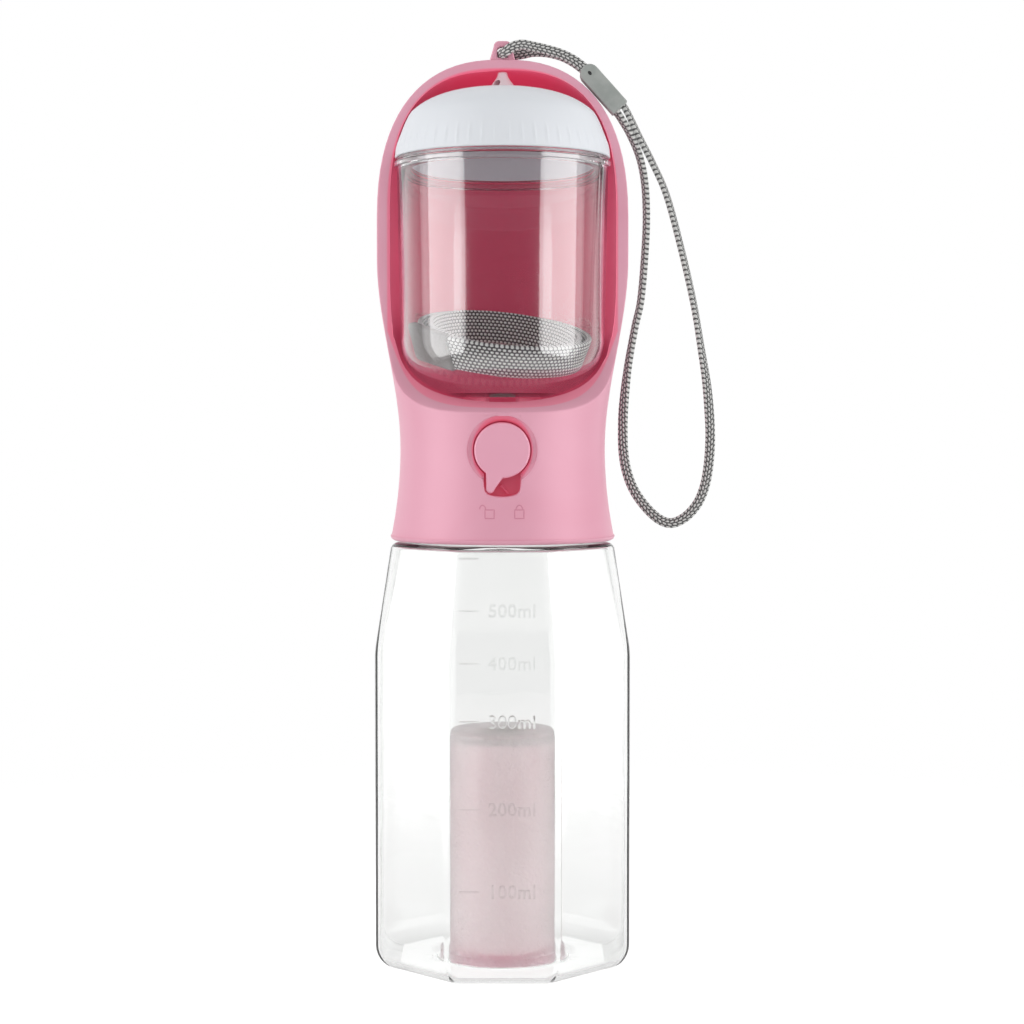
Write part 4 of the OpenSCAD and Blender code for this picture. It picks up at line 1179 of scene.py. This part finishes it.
@dataclass
class Housing:
    """Screw-on housing: skirt, waist with the button's well, scoop, rim and dome."""

    z_skirt: float = 144.5
    waist_up: float = 31.5
    height: float = 162.9
    dome_height: float = 55.4
    belly_height: float = 12.0
    skirt_radius: float = 38.3
    waist_radius: float = 34.9
    belly_radius: float = 42.8
    belly_wall: float = 4.1
    dome_wall: float = 3.7
    dome_n: float = 2.45
    recess_n: float = 2.7
    floor_up: float = 44.0
    bowl_n: float = 3.2
    rim_y: float = -2.0
    lip_up: float = 43.3
    lip_rise: float = 24.2
    lip_back: float = 34.0
    lip_n: float = 1.7
    skirt_round: float = 1.6
    hollow_radius: float = 33.65
    ledge_up: float = 13.6
    columns: int = 72
    button_z: float = 175.4
    well_radius: float = 9.6
    slot_half: float = 6.03
    slot_reach: float = 15.15
    well_floor_y: float = -26.7
    well_low: float = 156.4
    icon_z: float = 154.6
    room_radius: float = 5.75
    room_end_y: float = -15.2

    @property
    def z_top(self) -> float:
        """Height of the dome's top."""
        return self.z_skirt + self.height

    @property
    def z_dome(self) -> float:
        """Height at which the dome starts."""
        return self.z_top - self.dome_height

    @property
    def z_belly(self) -> float:
        """Height at which the flank has reached the belly."""
        return self.z_dome - self.belly_height

    @property
    def z_floor(self) -> float:
        """Height of the scoop's floor."""
        return self.z_skirt + self.floor_up

    @property
    def z_rim(self) -> float:
        """Height at which the rim turns upright."""
        return self.z_skirt + self.lip_up + self.lip_rise

    @property
    def z_recess_top(self) -> float:
        """Height of the recess under the dome's top."""
        return self.z_top - self.dome_wall

    def outer_radius(self, z: float) -> float:
        """Radius of the outside at a height."""
        waist = self.z_skirt + self.waist_up
        if z <= waist:
            return self.waist_radius + (self.skirt_radius - self.waist_radius) * (
                (waist - z) / self.waist_up
            ) ** 2
        if z <= self.z_belly:
            return blend(self.waist_radius, self.belly_radius, smooth((z - waist) / (self.z_belly - waist)))
        if z <= self.z_dome:
            return self.belly_radius
        return self.belly_radius * super_radius((z - self.z_dome) / self.dome_height, self.dome_n)

    def inner_radius(self, z: float) -> float:
        """Radius of the recess at a height."""
        radius = self.belly_radius - self.belly_wall
        low = self.z_dome + 2
        if z < self.z_belly:
            return radius * super_radius((self.z_belly - z) / (self.z_belly - self.z_floor), self.bowl_n)
        return radius * super_radius((z - low) / (self.z_recess_top - low), self.recess_n)

    def outer_point(self, s: float) -> tuple[float, float]:
        """Radius and height of the outside: the skirt at 0, the rim's height at 1 and the top at 2."""
        if s <= 1:
            z = blend(self.z_skirt, self.z_rim, s)
            return self.outer_radius(z), z
        return self.upper_point(s - 1, self.z_dome, self.belly_radius, self.dome_height, self.dome_n, True)

    def inner_point(self, s: float) -> tuple[float, float]:
        """Radius and height of the recess, from its floor at 0 over the rim's height at 1 to its top at 2."""
        radius = self.belly_radius - self.belly_wall
        bowl = self.z_belly - self.z_floor
        if s <= 1:
            end = math.acos(((self.z_belly - self.z_rim) / bowl) ** (self.bowl_n / 2))
            t = end * s
            r = radius * math.sin(t) ** (2 / self.bowl_n)
            return r, self.z_belly - bowl * math.cos(t) ** (2 / self.bowl_n)
        low = self.z_dome + 2
        return self.upper_point(s - 1, low, radius, self.z_recess_top - low, self.recess_n, False)

    def upper_point(
        self, s: float, z_start: float, radius: float, rise: float, n: float, outside: bool
    ) -> tuple[float, float]:
        """Point of the upper part of either skin, from the rim's height at 0 to the top at 1."""
        share = 0.36
        if s < share:
            z = blend(self.z_rim, z_start, s / share)
            return (self.outer_radius(z) if outside else self.inner_radius(z)), z
        t = math.pi / 2 * (s - share) / (1 - share)
        return radius * max(0.0, math.cos(t)) ** (2 / n), z_start + rise * math.sin(t) ** (2 / n)

    def cut_height(self, y: float) -> float:
        """Height of the rim's cut at a distance from the front."""
        share = min(1.0, max(0.0, (y - (self.rim_y - self.lip_back)) / self.lip_back))
        return self.z_rim - self.lip_rise * (1 - share**self.lip_n) ** (1 / self.lip_n)

    def rim_share(self, point: Callable[[float], tuple[float, float]], turn: float) -> float:
        """How far up a skin's lower part the rim lies, at an angle from the front."""
        low, high = 0.0, 1.0
        if point(1.0)[0] * math.cos(turn) <= -self.rim_y + 1e-6:
            return 1.0
        for _ in range(40):
            middle = (low + high) / 2
            r, z = point(middle)
            if z < self.cut_height(-r * math.cos(turn)):
                low = middle
            else:
                high = middle
        return high

    def skin(self, form: Form, point: Callable[[float], tuple[float, float]], rows: int) -> list[BMEdge]:
        """Adds the outside or the recess, open at the rim.

        Args:
            form: the housing's form.
            point: radius and height of the skin's profile.
            rows: rows of faces in its lower part.
        Returns:
            The edges of the rim.
        """
        bm, tag = form.bm, form.tag
        old = set(bm.verts)
        last = 0.972
        shares = [last * k / rows for k in range(rows + 1)] + [1.0, 1.02]
        shares += [1.02 + 0.98 * (k / 30) ** 0.94 for k in range(1, 31)]
        chain = form.chain([(r, 0.0, z) for r, z in map(point, shares)], tags=shares)
        form.spin(chain, self.columns, math.pi)
        bmesh.ops.remove_doubles(bm, verts=[v for v in bm.verts if v not in old], dist=1e-4)
        mine = [v for v in bm.verts if v not in old]
        edge = [e for v in mine for e in v.link_edges if e.is_boundary and abs(v.co.y) < 1e-4]
        edge = [e for e in dict.fromkeys(edge) if all(abs(v.co.y) < 1e-4 for v in e.verts)]
        upper = [e for e in edge if all(v[tag] > 1 - 1e-5 for v in e.verts)]
        lower = [e for e in edge if all(v[tag] < 1 + 1e-5 and v.co.x > -1e-4 for v in e.verts)]
        reach = point(1.0)[0]
        narrow = (reach - math.sqrt(reach**2 - self.rim_y**2)) / reach
        form.grow(upper, lambda v: (v.co.x * (1 - narrow), self.rim_y, v.co.z))
        new = form.spin(lower, self.columns, -math.pi)
        step = math.pi / self.columns
        inset = math.asin(-self.rim_y / reach)
        for vert in new:
            j = round(math.atan2(-vert.co.y, vert.co.x) / step) if vert.co.xy.length > 1e-4 else 0
            side = min(j, self.columns - j)
            turn = inset + (math.pi / 2 - inset) * (side - 1) / (self.columns / 2 - 1) if side else 0.0
            turn = turn if j <= self.columns / 2 else math.pi - turn
            share = vert[tag] * self.rim_share(point, abs(math.pi / 2 - turn))
            r, z = point(share)
            vert.co = (r * math.cos(turn), -r * math.sin(turn), z)
        bmesh.ops.remove_doubles(bm, verts=[v for v in bm.verts if v not in old], dist=0.01)
        found = [e for v in bm.verts if v not in old for e in v.link_edges if e.is_boundary]
        return [
            e
            for e in dict.fromkeys(found)
            if all(v[tag] > 1 - 1e-5 and v.co.y <= self.rim_y + 1e-3 for v in e.verts)
        ]

    def well_reach(self, turn: float) -> float:
        """Distance of the well's edge from the button's axis, at an angle from straight down."""
        if abs(turn) >= math.pi / 2:
            return self.well_radius
        side = self.slot_half / max(1e-6, abs(math.sin(turn)))
        slot = (self.slot_reach**-12 + side**-12) ** (-1 / 12)
        return max(self.well_radius, slot)

    def well(self, form: Form) -> None:
        """Opens the button's well in the front of the waist and gives it its soft dish and floor."""
        bm = form.bm
        half = 10.5 * math.pi / self.columns
        area = []
        for face in bm.faces:
            co = face.calc_center_median()
            azimuth = math.atan2(co.x, -co.y)
            near = co.y < 0 and abs(azimuth) < half and co.z > self.well_low
            if near and max(v[form.tag] for v in face.verts) < 0.98:
                area.append(face)
        chosen = set(area)
        edges = [e for f in area for e in f.edges if sum(g in chosen for g in e.link_faces) == 1]
        edges = list(dict.fromkeys(edges))
        bmesh.ops.delete(bm, geom=area, context="FACES")

        def surface_y(x: float, z: float) -> float:
            """Y of the waist's outside."""
            return -math.sqrt(self.outer_radius(z) ** 2 - x * x)

        def loop(add: float, sink: float | None, y: float | None = None) -> Callable:
            """Rule for a loop on the well's edge, sunk under the outside or at a fixed y."""

            def place(vert: BMVert) -> Point:
                """New place of a vertex."""
                x, up = vert.co.x, vert.co.z - self.button_z
                turn = math.atan2(x, -up)
                reach = self.well_reach(turn) + add
                x, z = reach * math.sin(turn), self.button_z - reach * math.cos(turn)
                return x, (surface_y(x, z) + sink if y is None else y), z

            return place

        def dish(reach: float, add: float, sink: float, cone: float, share: float = 1.0) -> Callable:
            """Rule for a loop of the round dish, which keeps its depth off the slot."""

            def place(vert: BMVert) -> Point:
                """New place of a vertex."""
                x, up = vert.co.x, vert.co.z - self.button_z
                turn = math.atan2(x, -up)
                slot = self.well_reach(turn) + add
                far = blend(math.hypot(x, up), max(reach, slot), share)
                x, z = far * math.sin(turn), self.button_z - far * math.cos(turn)
                y = surface_y(x, z) + sink
                return x, (max(y, cone) if reach > slot else y), z

            return place

        for rule in (
            dish(12.6, 1.5, 0.0, -50.0, 0.4),
            dish(12.6, 1.5, 0.0, -50.0, 0.6),
            dish(12.3, 1.3, 0.0, -50.0),
            dish(11.75, 0.8, 0.0, -50.0),
            dish(11.5, 0.5, 0.05, -50.0),
            dish(11.4, 0.3, 0.2, -33.95),
            dish(11.32, 0.2, 0.4, -33.7),
            dish(11.1, 0.12, 0.6, -33.45),
            dish(10.3, 0.08, 0.8, -32.8),
            dish(9.66, 0.04, 1.0, -32.25),
            loop(0.0, 1.9),
            loop(0.0, None, self.well_floor_y - 0.5),
            loop(-0.15, None, self.well_floor_y - 0.12),
            loop(-0.6, None, self.well_floor_y),
        ):
            edges = form.grow(edges, rule)
        for y in (self.well_floor_y, self.room_end_y):
            def room(vert: BMVert, y: float = y) -> Point:
                """Place of a vertex on the wall of the spring's room."""
                way = Vector((vert.co.x, 0.0, vert.co.z - self.button_z)).normalized() * self.room_radius
                return way.x, y, self.button_z + way.z

            edges = form.grow(edges, room)
        form.close(edges)

    def foot(self, form: Form, edges: list[BMEdge]) -> None:
        """Turns the skirt's edge inwards and up to the ledge over the deck."""
        for vert in {v for e in edges for v in e.verts}:
            vert.co.z += self.skirt_round
        curve = [math.pi / 2 * k / 4 for k in range(1, 5)]
        ring = self.skirt_round
        for radius, z in (
            *(
                (self.skirt_radius - ring * (1 - math.cos(a)), self.z_skirt + ring * (1 - math.sin(a)))
                for a in curve
            ),
            (self.hollow_radius + 0.3, self.z_skirt),
            (self.hollow_radius, self.z_skirt + 0.3),
            (self.hollow_radius, self.z_skirt + self.ledge_up),
        ):
            edges = form.grow(edges, lambda v, r=radius, z=z: (*(v.co.xy.normalized() * r), z))
        form.close(edges)

    def lug(self, form: Form) -> None:
        """Adds the lug with its arched eye on top of the dome."""
        root, top = self.z_top - 1.6, self.z_top + 6.4
        outline = [(4.8, root)]
        for k in range(9):
            a = math.pi / 2 * k / 8
            outline.append((1.2 + 1.8 * math.cos(a), top - 1.8 + 1.8 * math.sin(a)))
        outline += [(-x, z) for x, z in reversed(outline)]
        hole = []
        for x, z in outline:
            a = math.atan2(z - self.z_top - 2.2, x)
            hole.append((2.3 * math.cos(a), self.z_top + 2.2 + 2.3 * math.sin(a)))
        near, far = -1.0, 2.5
        outer = form.chain([(x, near, z) for x, z in outline], True)
        inner = form.chain([(x, near, z) for x, z in hole], True)
        faces = bmesh.ops.bridge_loops(form.bm, edges=outer + inner)["faces"]
        grown = bmesh.ops.extrude_face_region(form.bm, geom=faces)["geom"]
        verts = [g for g in grown if isinstance(g, BMVert)]
        bmesh.ops.translate(form.bm, vec=(0.0, far - near, 0.0), verts=verts)
        own = [e for v in verts for e in v.link_edges] + outer + inner
        flat = {near, far}
        ring = [e for e in dict.fromkeys(own) if all(round(v.co.y, 4) in flat for v in e.verts)]
        ring = [e for e in ring if e.is_manifold and e.calc_face_angle(0) > 1.0]
        form.bevel(ring, 0.5, 3)

    def pads(self, form: Form) -> None:
        """Adds the three low arcs that the cup stands on."""
        low, high = self.z_floor - 1, self.z_floor + 4.2
        for k in range(3):
            start = math.radians(90 + 120 * k - 35)
            corners = [(10.5, low), (13.5, low), (13.5, high), (10.5, high)]
            points = [(r * math.cos(start), r * math.sin(start), z) for r, z in corners]
            edges = form.chain(points, True)
            form.close(edges)
            before = set(form.bm.verts)
            form.spin(edges, 18, math.radians(70))
            end = start + math.radians(70)
            way = Vector((math.cos(end), math.sin(end), 0.0))
            last = [v for v in form.bm.verts if v not in before and abs(v.co.cross(way).z) < 1e-3]
            rim = [e for e in form.bm.edges if e.verts[0] in last and e.verts[1] in last]
            form.close(rim)

    def rib(self, form: Form) -> None:
        """Adds the low rib across the slot's floor."""
        place = Matrix.Translation((0.8, self.well_floor_y - 0.1, self.button_z - 13.0))
        form.block((0.9, 2.4, 4.0), place @ Matrix.Rotation(math.radians(-41), 4, "Y"), 0.25)

    def icons(self) -> None:
        """Adds the lines of an open and a closed padlock under the slot."""
        form = Form()
        body = [(-1.5, -1.4), (1.5, -1.4), (1.5, 1.4), (-1.5, 1.4)]
        turns = [math.pi * k / 8 for k in range(9)]
        bow = [(1.1 * math.cos(a), 1.4 + 1.5 * math.sin(a)) for a in turns]
        hook = [(-2.3 + 0.95 * math.cos(a), 1.6 + 1.3 * math.sin(a)) for a in turns]
        for centre, lines in ((-4.1, [body + body[:1], hook]), (5.6, [body + body[:1], bow])):
            for line in lines:
                points = []
                for a, b in zip(line, line[1:]):
                    points += [(blend(a[0], b[0], k / 3), blend(a[1], b[1], k / 3)) for k in range(3)]
                points.append(line[-1])
                route = []
                for x, z in points:
                    x, z = centre + x, self.icon_z + z
                    route.append(Vector((x, -math.sqrt(self.outer_radius(z) ** 2 - x * x), z)))
                rings = []
                for i, p in enumerate(route):
                    ahead = way_on(route, i)
                    out = Vector((p.x, p.y, 0.0)).normalized()
                    side = ahead.cross(out).normalized()
                    rings.append([p + side * a + out * b for a, b in oval(0.42, 0.16, 2.0, 8)])
                form.sweep(rings, [0.0] * 8, [0.0] * len(route))
        # The lines take the darker pink of painted groove shade.
        form.piece("LockIcons", "housing", Look.ENGRAVED_SHADED)

    def build(self) -> None:
        """Makes the housing and its icons."""
        form = Form()
        outer = self.skin(form, self.outer_point, 34)
        skirt = [e for e in form.bm.edges if e.is_boundary and all(v[form.tag] < 1e-5 for v in e.verts)]
        self.foot(form, skirt)
        self.well(form)
        inner = self.skin(form, self.inner_point, 18)
        LOG.info("rim edges: %d and %d", len(outer), len(inner))
        bmesh.ops.bridge_loops(form.bm, edges=outer + inner)
        form.bevel(outer, 0.55, 2)
        form.bevel([e for e in inner if e.is_valid], 0.9, 3)
        self.lug(form)
        self.pads(form)
        self.rib(form)
        form.piece("HousingShell", "housing", Look.HOUSING, ["housing"], 40.0)
        self.icons()


@dataclass
class Button:
    """Round push button with the pointer that shows whether it is locked."""

    z: float = 175.4
    radius: float = 9.15
    reach: float = 13.3
    tip: float = 1.4
    angle: float = 17.4
    face_y: float = -34.4
    back_y: float = -31.0

    def edge(self, turn: float) -> float:
        """Distance of the outline from the axis, at an angle from the pointer."""
        t = abs(turn)
        best = self.radius
        if t < math.asin(self.tip / self.reach):
            rise = math.sqrt(self.tip**2 - (self.reach * math.sin(t)) ** 2)
            best = max(best, self.reach * math.cos(t) + rise)
        root, end = (0.33 * self.radius, 0.9 * self.radius), (0.93 * self.tip, self.reach)
        way = (math.sin(t), math.cos(t))
        d = (end[0] - root[0], end[1] - root[1])
        cross = way[0] * d[1] - way[1] * d[0]
        if abs(cross) > 1e-9 and t < 0.6:
            far = (root[0] * d[1] - root[1] * d[0]) / cross
            hit = far * way[1]
            if root[1] <= hit <= end[1]:
                best = max(best, far)
        return best

    def build(self) -> None:
        """Makes the button with its rounded edge and faint crown."""
        form = Form()
        coarse = [FULL_TURN * k / 160 for k in range(160)]
        fine = [0.024 * k % FULL_TURN for k in range(-20, 21)]
        turns = sorted({round(t, 4) for t in coarse + fine})
        lean = math.radians(self.angle)

        def place(turn: float, draw: float, y: float) -> Point:
            """Point of the outline, drawn in by a distance."""
            reach = self.edge(turn if turn < math.pi else turn - FULL_TURN) - draw
            way = turn + lean
            return -reach * math.sin(way), y, self.z - reach * math.cos(way)

        edges = form.chain([place(t, 0.0, self.back_y) for t in turns], True, range(len(turns)))
        back = edges
        rounding = ((0.0, 0.8), (0.1, 0.42), (0.3, 0.14), (0.5, 0.01), (0.8, 0.0), (1.1, 0.02))
        for draw, sink in rounding:
            y = self.face_y + sink
            edges = form.grow(edges, lambda v, d=draw, y=y: place(turns[round(v[form.tag])], d, y))
        for radius, sink in ((6.5, 0.05), (3.5, 0.1)):
            def inner(v: BMVert, r: float = radius, s: float = sink) -> Point:
                """Place of a vertex on a ring of the crown."""
                way = turns[round(v[form.tag])] + lean
                return -r * math.sin(way), self.face_y + s, self.z - r * math.cos(way)

            edges = form.grow(edges, inner)
        form.close(edges)
        form.close(back)
        form.piece("ButtonCap", "button", Look.BUTTON, ["button"], 60.0)


# ---------------------------------------------------------------- cup


@dataclass
class FoodCup:
    """Clear food cup with its ribbed lid, gasket and the webbing wound in it."""

    shell: Housing
    base: float = 193.0
    gap: float = 0.45
    wall: float = 1.6
    flange: float = 2.0
    flange_out: float = 1.0
    draft: float = 1.0
    bowl: float = 22.0
    bowl_n: float = 2.3
    lid_height: float = 23.7
    lid_wall: float = 1.8
    lid_n: float = 2.55
    gasket: float = 1.4
    collar_depth: float = 2.0
    ribs: int = 52
    rib_out: float = 0.35
    rib_height: float = 7.0
    headroom: float = 6.0
    strap_width: float = 11.0
    strap_thick: float = 2.0
    strap_turns: float = 2.1
    tip_length: float = 21.0
    strap_high: float = 112.0
    strap_start: float = -145.0
    strap_room: float = 5.4
    strap_shift: float = 1.6
    strap_pitch: float = 3.4
    strap_lean: float = 16.0
    strap_lean_swing: float = 14.0
    strap_up: float = 18.6
    strap_tilt: float = 7.0
    tip_wall: float = 0.7

    @property
    def strap_radius(self) -> float:
        """Middle radius of the webbing's outer turn."""
        return self.radius - self.draft - self.strap_room

    @property
    def lid_z(self) -> float:
        """Height of the lid's lower edge."""
        return self.shell.z_recess_top - self.headroom - self.lid_height

    @property
    def flange_radius(self) -> float:
        """Radius of the cup's flange."""
        return self.shell.inner_radius(self.lid_z) - self.gap

    @property
    def radius(self) -> float:
        """Outer radius of the cup under its flange."""
        return self.flange_radius - self.flange_out

    def side(self, grow: float, z_bottom: float) -> list[tuple[float, float]]:
        """Half outline of the cup's side from its axis up to under the flange."""
        low = self.radius - self.draft
        bowl_z = self.base + self.bowl - 1.5
        points = [(0.0, z_bottom)]
        for i in range(17):
            z = z_bottom + (bowl_z - z_bottom) * (i / 16) ** 1.7
            points.append((low * super_radius((bowl_z - z) / self.bowl, self.bowl_n) - grow, z))
        return points

    def cup(self) -> None:
        """Makes the clear cup."""
        top = self.lid_z - self.gasket
        out, r = self.flange_radius, self.radius
        profile = self.side(0.0, self.base)
        profile += [(r - 0.5, blend(self.base + self.bowl, top, 0.5)), (r, top - self.flange - 0.6)]
        under = top - self.flange
        profile += [(r + 0.2, under), (out - 0.25, under), (out, under + 0.3), (out, top - 0.3)]
        profile += [(out - 0.25, top), (r - self.wall + 0.3, top), (r - self.wall, top - 0.3)]
        inner = self.side(self.wall, self.base + self.wall)
        profile += [(r - self.wall - 0.5, blend(self.base + self.bowl, top, 0.5))]
        profile += list(reversed(inner))
        form = Form()
        form.lathe(profile, 160)
        form.piece("CupWall", "cup", Look.CUP, ["cup"], 30.0)

    def lid_radius(self, z: float) -> float:
        """Radius of the lid's dome at a height, without its ribs."""
        u = (z - self.lid_z) / self.lid_height
        dome = (self.flange_radius - 0.1) * super_radius(u, self.lid_n)
        return max(0.0, min(dome, self.shell.inner_radius(z) - self.gap) - self.rib_out)

    def lid(self) -> None:
        """Makes the lid with its grip ribs."""
        z0, top = self.lid_z, self.lid_z + self.lid_height
        plug = self.radius - self.wall - 0.3
        outer = [(0.0, top)]
        for k in range(1, 23):
            z = z0 + self.lid_height * math.cos(math.pi / 2 * k / 23) ** (2 / self.lid_n)
            outer.append((self.lid_radius(z), z))
        edge = self.lid_radius(z0)
        outer += [(self.lid_radius(z0 + 1.2) + 0.05, z0 + 1.2)]
        outer += [(edge + 0.1, z0 + 0.5), (edge - 0.1, z0 + 0.12)]
        outer += [(edge - 0.4, z0), (plug - self.lid_wall + 0.2, z0)]
        for k in range(12):
            t = math.pi / 2 * k / 12
            r = (plug - self.lid_wall) * math.cos(t) ** (2 / self.lid_n)
            outer.append((r, z0 + (self.lid_height - self.lid_wall) * math.sin(t) ** (2 / self.lid_n)))
        outer.append((0.0, top - self.lid_wall))
        form = Form()
        form.lathe(outer, self.ribs * 12)
        for vert in form.bm.verts:
            r = vert.co.xy.length
            up = vert.co.z - z0
            if 1.0 < up < self.rib_height + 2 and r > self.lid_radius(vert.co.z) - 0.2:
                share = (math.atan2(vert.co.y, vert.co.x) / FULL_TURN * self.ribs) % 1
                ridge = min(1.0, max(0.0, 1.35 - abs(share - 0.5) * 10))
                fade = smooth((up - 1.0) / 1.5) * smooth((self.rib_height + 1 - up) / 2.5)
                vert.co.xy = vert.co.xy.normalized() * (r + self.rib_out * 0.9 * ridge * fade)
        form.piece("LidDome", "lid", Look.LID, ["cup_lid"], 35.0)

    def loop(self) -> None:
        """Makes the bell-shaped loop on the lid with its arched hole."""
        z0 = self.lid_z + self.lid_height - 0.9
        rise = self.shell.z_recess_top - 0.3 - z0
        profile = [(0.0, z0)]
        for k in range(15):
            t = k / 14
            profile.append((1.7 + 3.0 * (1 - smooth(t)), z0 + (rise - 0.6) * t))
        profile += [(1.5, z0 + rise - 0.2), (1.1, z0 + rise), (0.0, z0 + rise)]
        form = Form()
        form.lathe(profile, 48)
        # The loop takes the lid's white with painted pink shade.
        bell = form.piece("LidLoop", "lid", Look.LOOP_PINK_SHADED, (), 40.0)
        cutter = Form()
        cutter.lathe([(0.0, -15.0), (1.35, -15.0), (1.35, 15.0), (0.0, 15.0)], 32)
        turn = Matrix.Rotation(math.radians(-35), 4, "Z") @ Matrix.Rotation(math.pi / 2, 4, "X")
        place = Matrix.Translation((0.0, 0.0, z0 + 2.3)) @ turn
        bmesh.ops.transform(cutter.bm, matrix=place, verts=cutter.bm.verts[:])
        hole = cutter.piece("LoopHole", "lid", Look.LOOP_PINK_SHADED)
        cut = bell.modifiers.new("Hole", "BOOLEAN")
        cut.object = hole
        cut.solver = "EXACT"
        graph = bpy.context.evaluated_depsgraph_get()
        mesh = bpy.data.meshes.new_from_object(bell.evaluated_get(graph))
        bell.modifiers.clear()
        bell.data = mesh
        bpy.data.objects.remove(hole)
        mesh.set_sharp_from_angle(angle=math.radians(40))

    def seal(self) -> None:
        """Makes the lid's clear gasket."""
        z = self.lid_z - self.gasket
        out, collar = self.flange_radius - 0.5, self.radius - self.wall - 0.3
        inner, low = collar - self.lid_wall, z - self.collar_depth
        profile = [(inner, low), (collar - 0.3, low), (collar, low + 0.3), (collar, z + 0.02)]
        profile += [(out - 0.3, z + 0.02), (out, z + 0.3), (out, z + self.gasket - 0.3)]
        profile += [(out - 0.3, z + self.gasket - 0.02), (inner, z + self.gasket - 0.02)]
        form = Form()
        form.lathe(profile, 128)
        form.piece("LidGasket", "lid", Look.LID_SEAL, ["lid_gasket"])

    def strap_frame(self, a: float, turn: float) -> tuple[Vector, Vector, Vector]:
        """Middle of the webbing and the directions of its width and its face.

        Args:
            a: angle round the cup.
            turn: number of turns from its outer end.
        Returns:
            The point, the width's direction and the face's direction.
        """
        swing = math.cos(a - math.radians(self.strap_high))
        r = self.strap_radius + self.strap_shift * swing - self.strap_pitch * turn
        lean = math.radians(self.strap_lean - self.strap_lean_swing * swing)
        up = self.base + self.strap_up + self.strap_tilt * swing
        point = Vector((r * math.cos(a), r * math.sin(a), up))
        wide = Vector((math.sin(lean) * math.cos(a), math.sin(lean) * math.sin(a), math.cos(lean)))
        face = Vector((math.cos(lean) * math.cos(a), math.cos(lean) * math.sin(a), -math.sin(lean)))
        return point, wide, face

    def wind(
        self, name: str, look: Look, node: str, angles: list[tuple[float, float]], sizes: list
    ) -> tuple[bpy.types.Object, float]:
        """Sweeps the webbing or its tip along the winding.

        Args:
            name: the piece's name.
            look: its finish.
            node: the solid that it stands for.
            angles: angle and turn of each ring.
            sizes: width and thickness of each ring.
        Returns:
            The piece and its length in millimetres.
        """
        rings = []
        reach = distances([self.strap_frame(a, t)[0] for a, t in angles])
        for (a, t), (width, thick) in zip(angles, sizes):
            point, wide, face = self.strap_frame(a, t)
            rings.append([point + wide * u + face * v for u, v in oval(width, thick, 5.0, 24)])
        spread = [u for u, _ in oval(self.strap_width, 1.0, 5.0, 24)]
        form = Form()
        form.sweep(rings, spread, reach)
        LOG.info("%s is %.0f mm long", name, reach[-1])
        return form.piece(name, "cup", look, [node], 50.0), reach[-1]

    def strap(self) -> None:
        """Makes the wound webbing and its rubber tip."""
        half = self.tip_length / 2 / self.strap_radius
        start = math.radians(self.strap_start)
        steps = 260
        turns = [self.strap_turns * i / steps for i in range(steps + 1)]
        angles = [(start + half + FULL_TURN * t, t) for t in turns]
        sizes = [(self.strap_width, self.strap_thick)] * len(angles)
        webbing, length = self.wind("StrapWebbing", Look.STRAP, "cup_strap", angles, sizes)
        angles, sizes = [], []
        ends = ((0, 0.82), (0.01, 0.92), (0.03, 0.98), (0.06, 1.0), (0.94, 1.0), (0.98, 0.97), (1, 0.93))
        width, thick = (size + 2 * self.tip_wall for size in (self.strap_width, self.strap_thick))
        for share, scale in ends:
            angles.append((start - half + 2 * half * share, 0.0))
            sizes.append((width * scale, thick * scale))
        # The tip takes the darker grey of painted shade.
        tip = self.wind("StrapTip", Look.TIP_SHADED, "strap_tip", angles, sizes)[0]

    def build(self) -> None:
        """Makes the cup and everything that goes with it."""
        self.cup()
        self.lid()
        self.loop()
        self.seal()
        self.strap()


@dataclass
class InnerParts:
    """Parts that stay as the frame has them and get their finish; the spring gets a mesh of its own."""

    looks: tuple = (
        ("neck_gasket", Look.SEAL),
        ("thread_collar", Look.INNER),
        ("valve_body", Look.INNER),
        ("valve_end_cap", Look.INNER),
        ("valve_screws", Look.STEEL),
        ("outlet_nozzle", Look.SEAL),
        ("stem_o_ring", Look.DARK),
        ("button_spring", Look.STEEL),
        ("button_stem", Look.INNER),
        ("spring_washer", Look.STEEL),
        ("valve_seal", Look.DARK),
        ("seal_clip", Look.STEEL),
        ("bag_cap", Look.BAG_CAP),
        ("roll_core", Look.BOARD),
    )
    button_z: float = 175.4
    spring_end_y: float = -15.6
    spring_length: float = 14.4
    travel: float = 4.0

    def build(self, nodes: dict[str, bpy.types.Object]) -> None:
        """Dresses the nodes.

        Args:
            nodes: the frame's nodes by name.
        """
        for name, look in self.looks:
            look.put_on(nodes[name])
            LOG.info("%s dressed", name)
        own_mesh(nodes["button_spring"])


def main() -> None:
    """Builds the whole scene in order."""
    logging.basicConfig(level=logging.INFO, format="%(message)s")
    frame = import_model()
    studio = Studio()
    studio.camera()
    Lanyard().build()
    studio.build()
    housing = Housing()
    Bottle().build()
    Bags().build()
    housing.build()
    Button().build()
    FoodCup(housing).build()
    InnerParts().build(frame["nodes"])


if __name__ == "__main__":
    main()
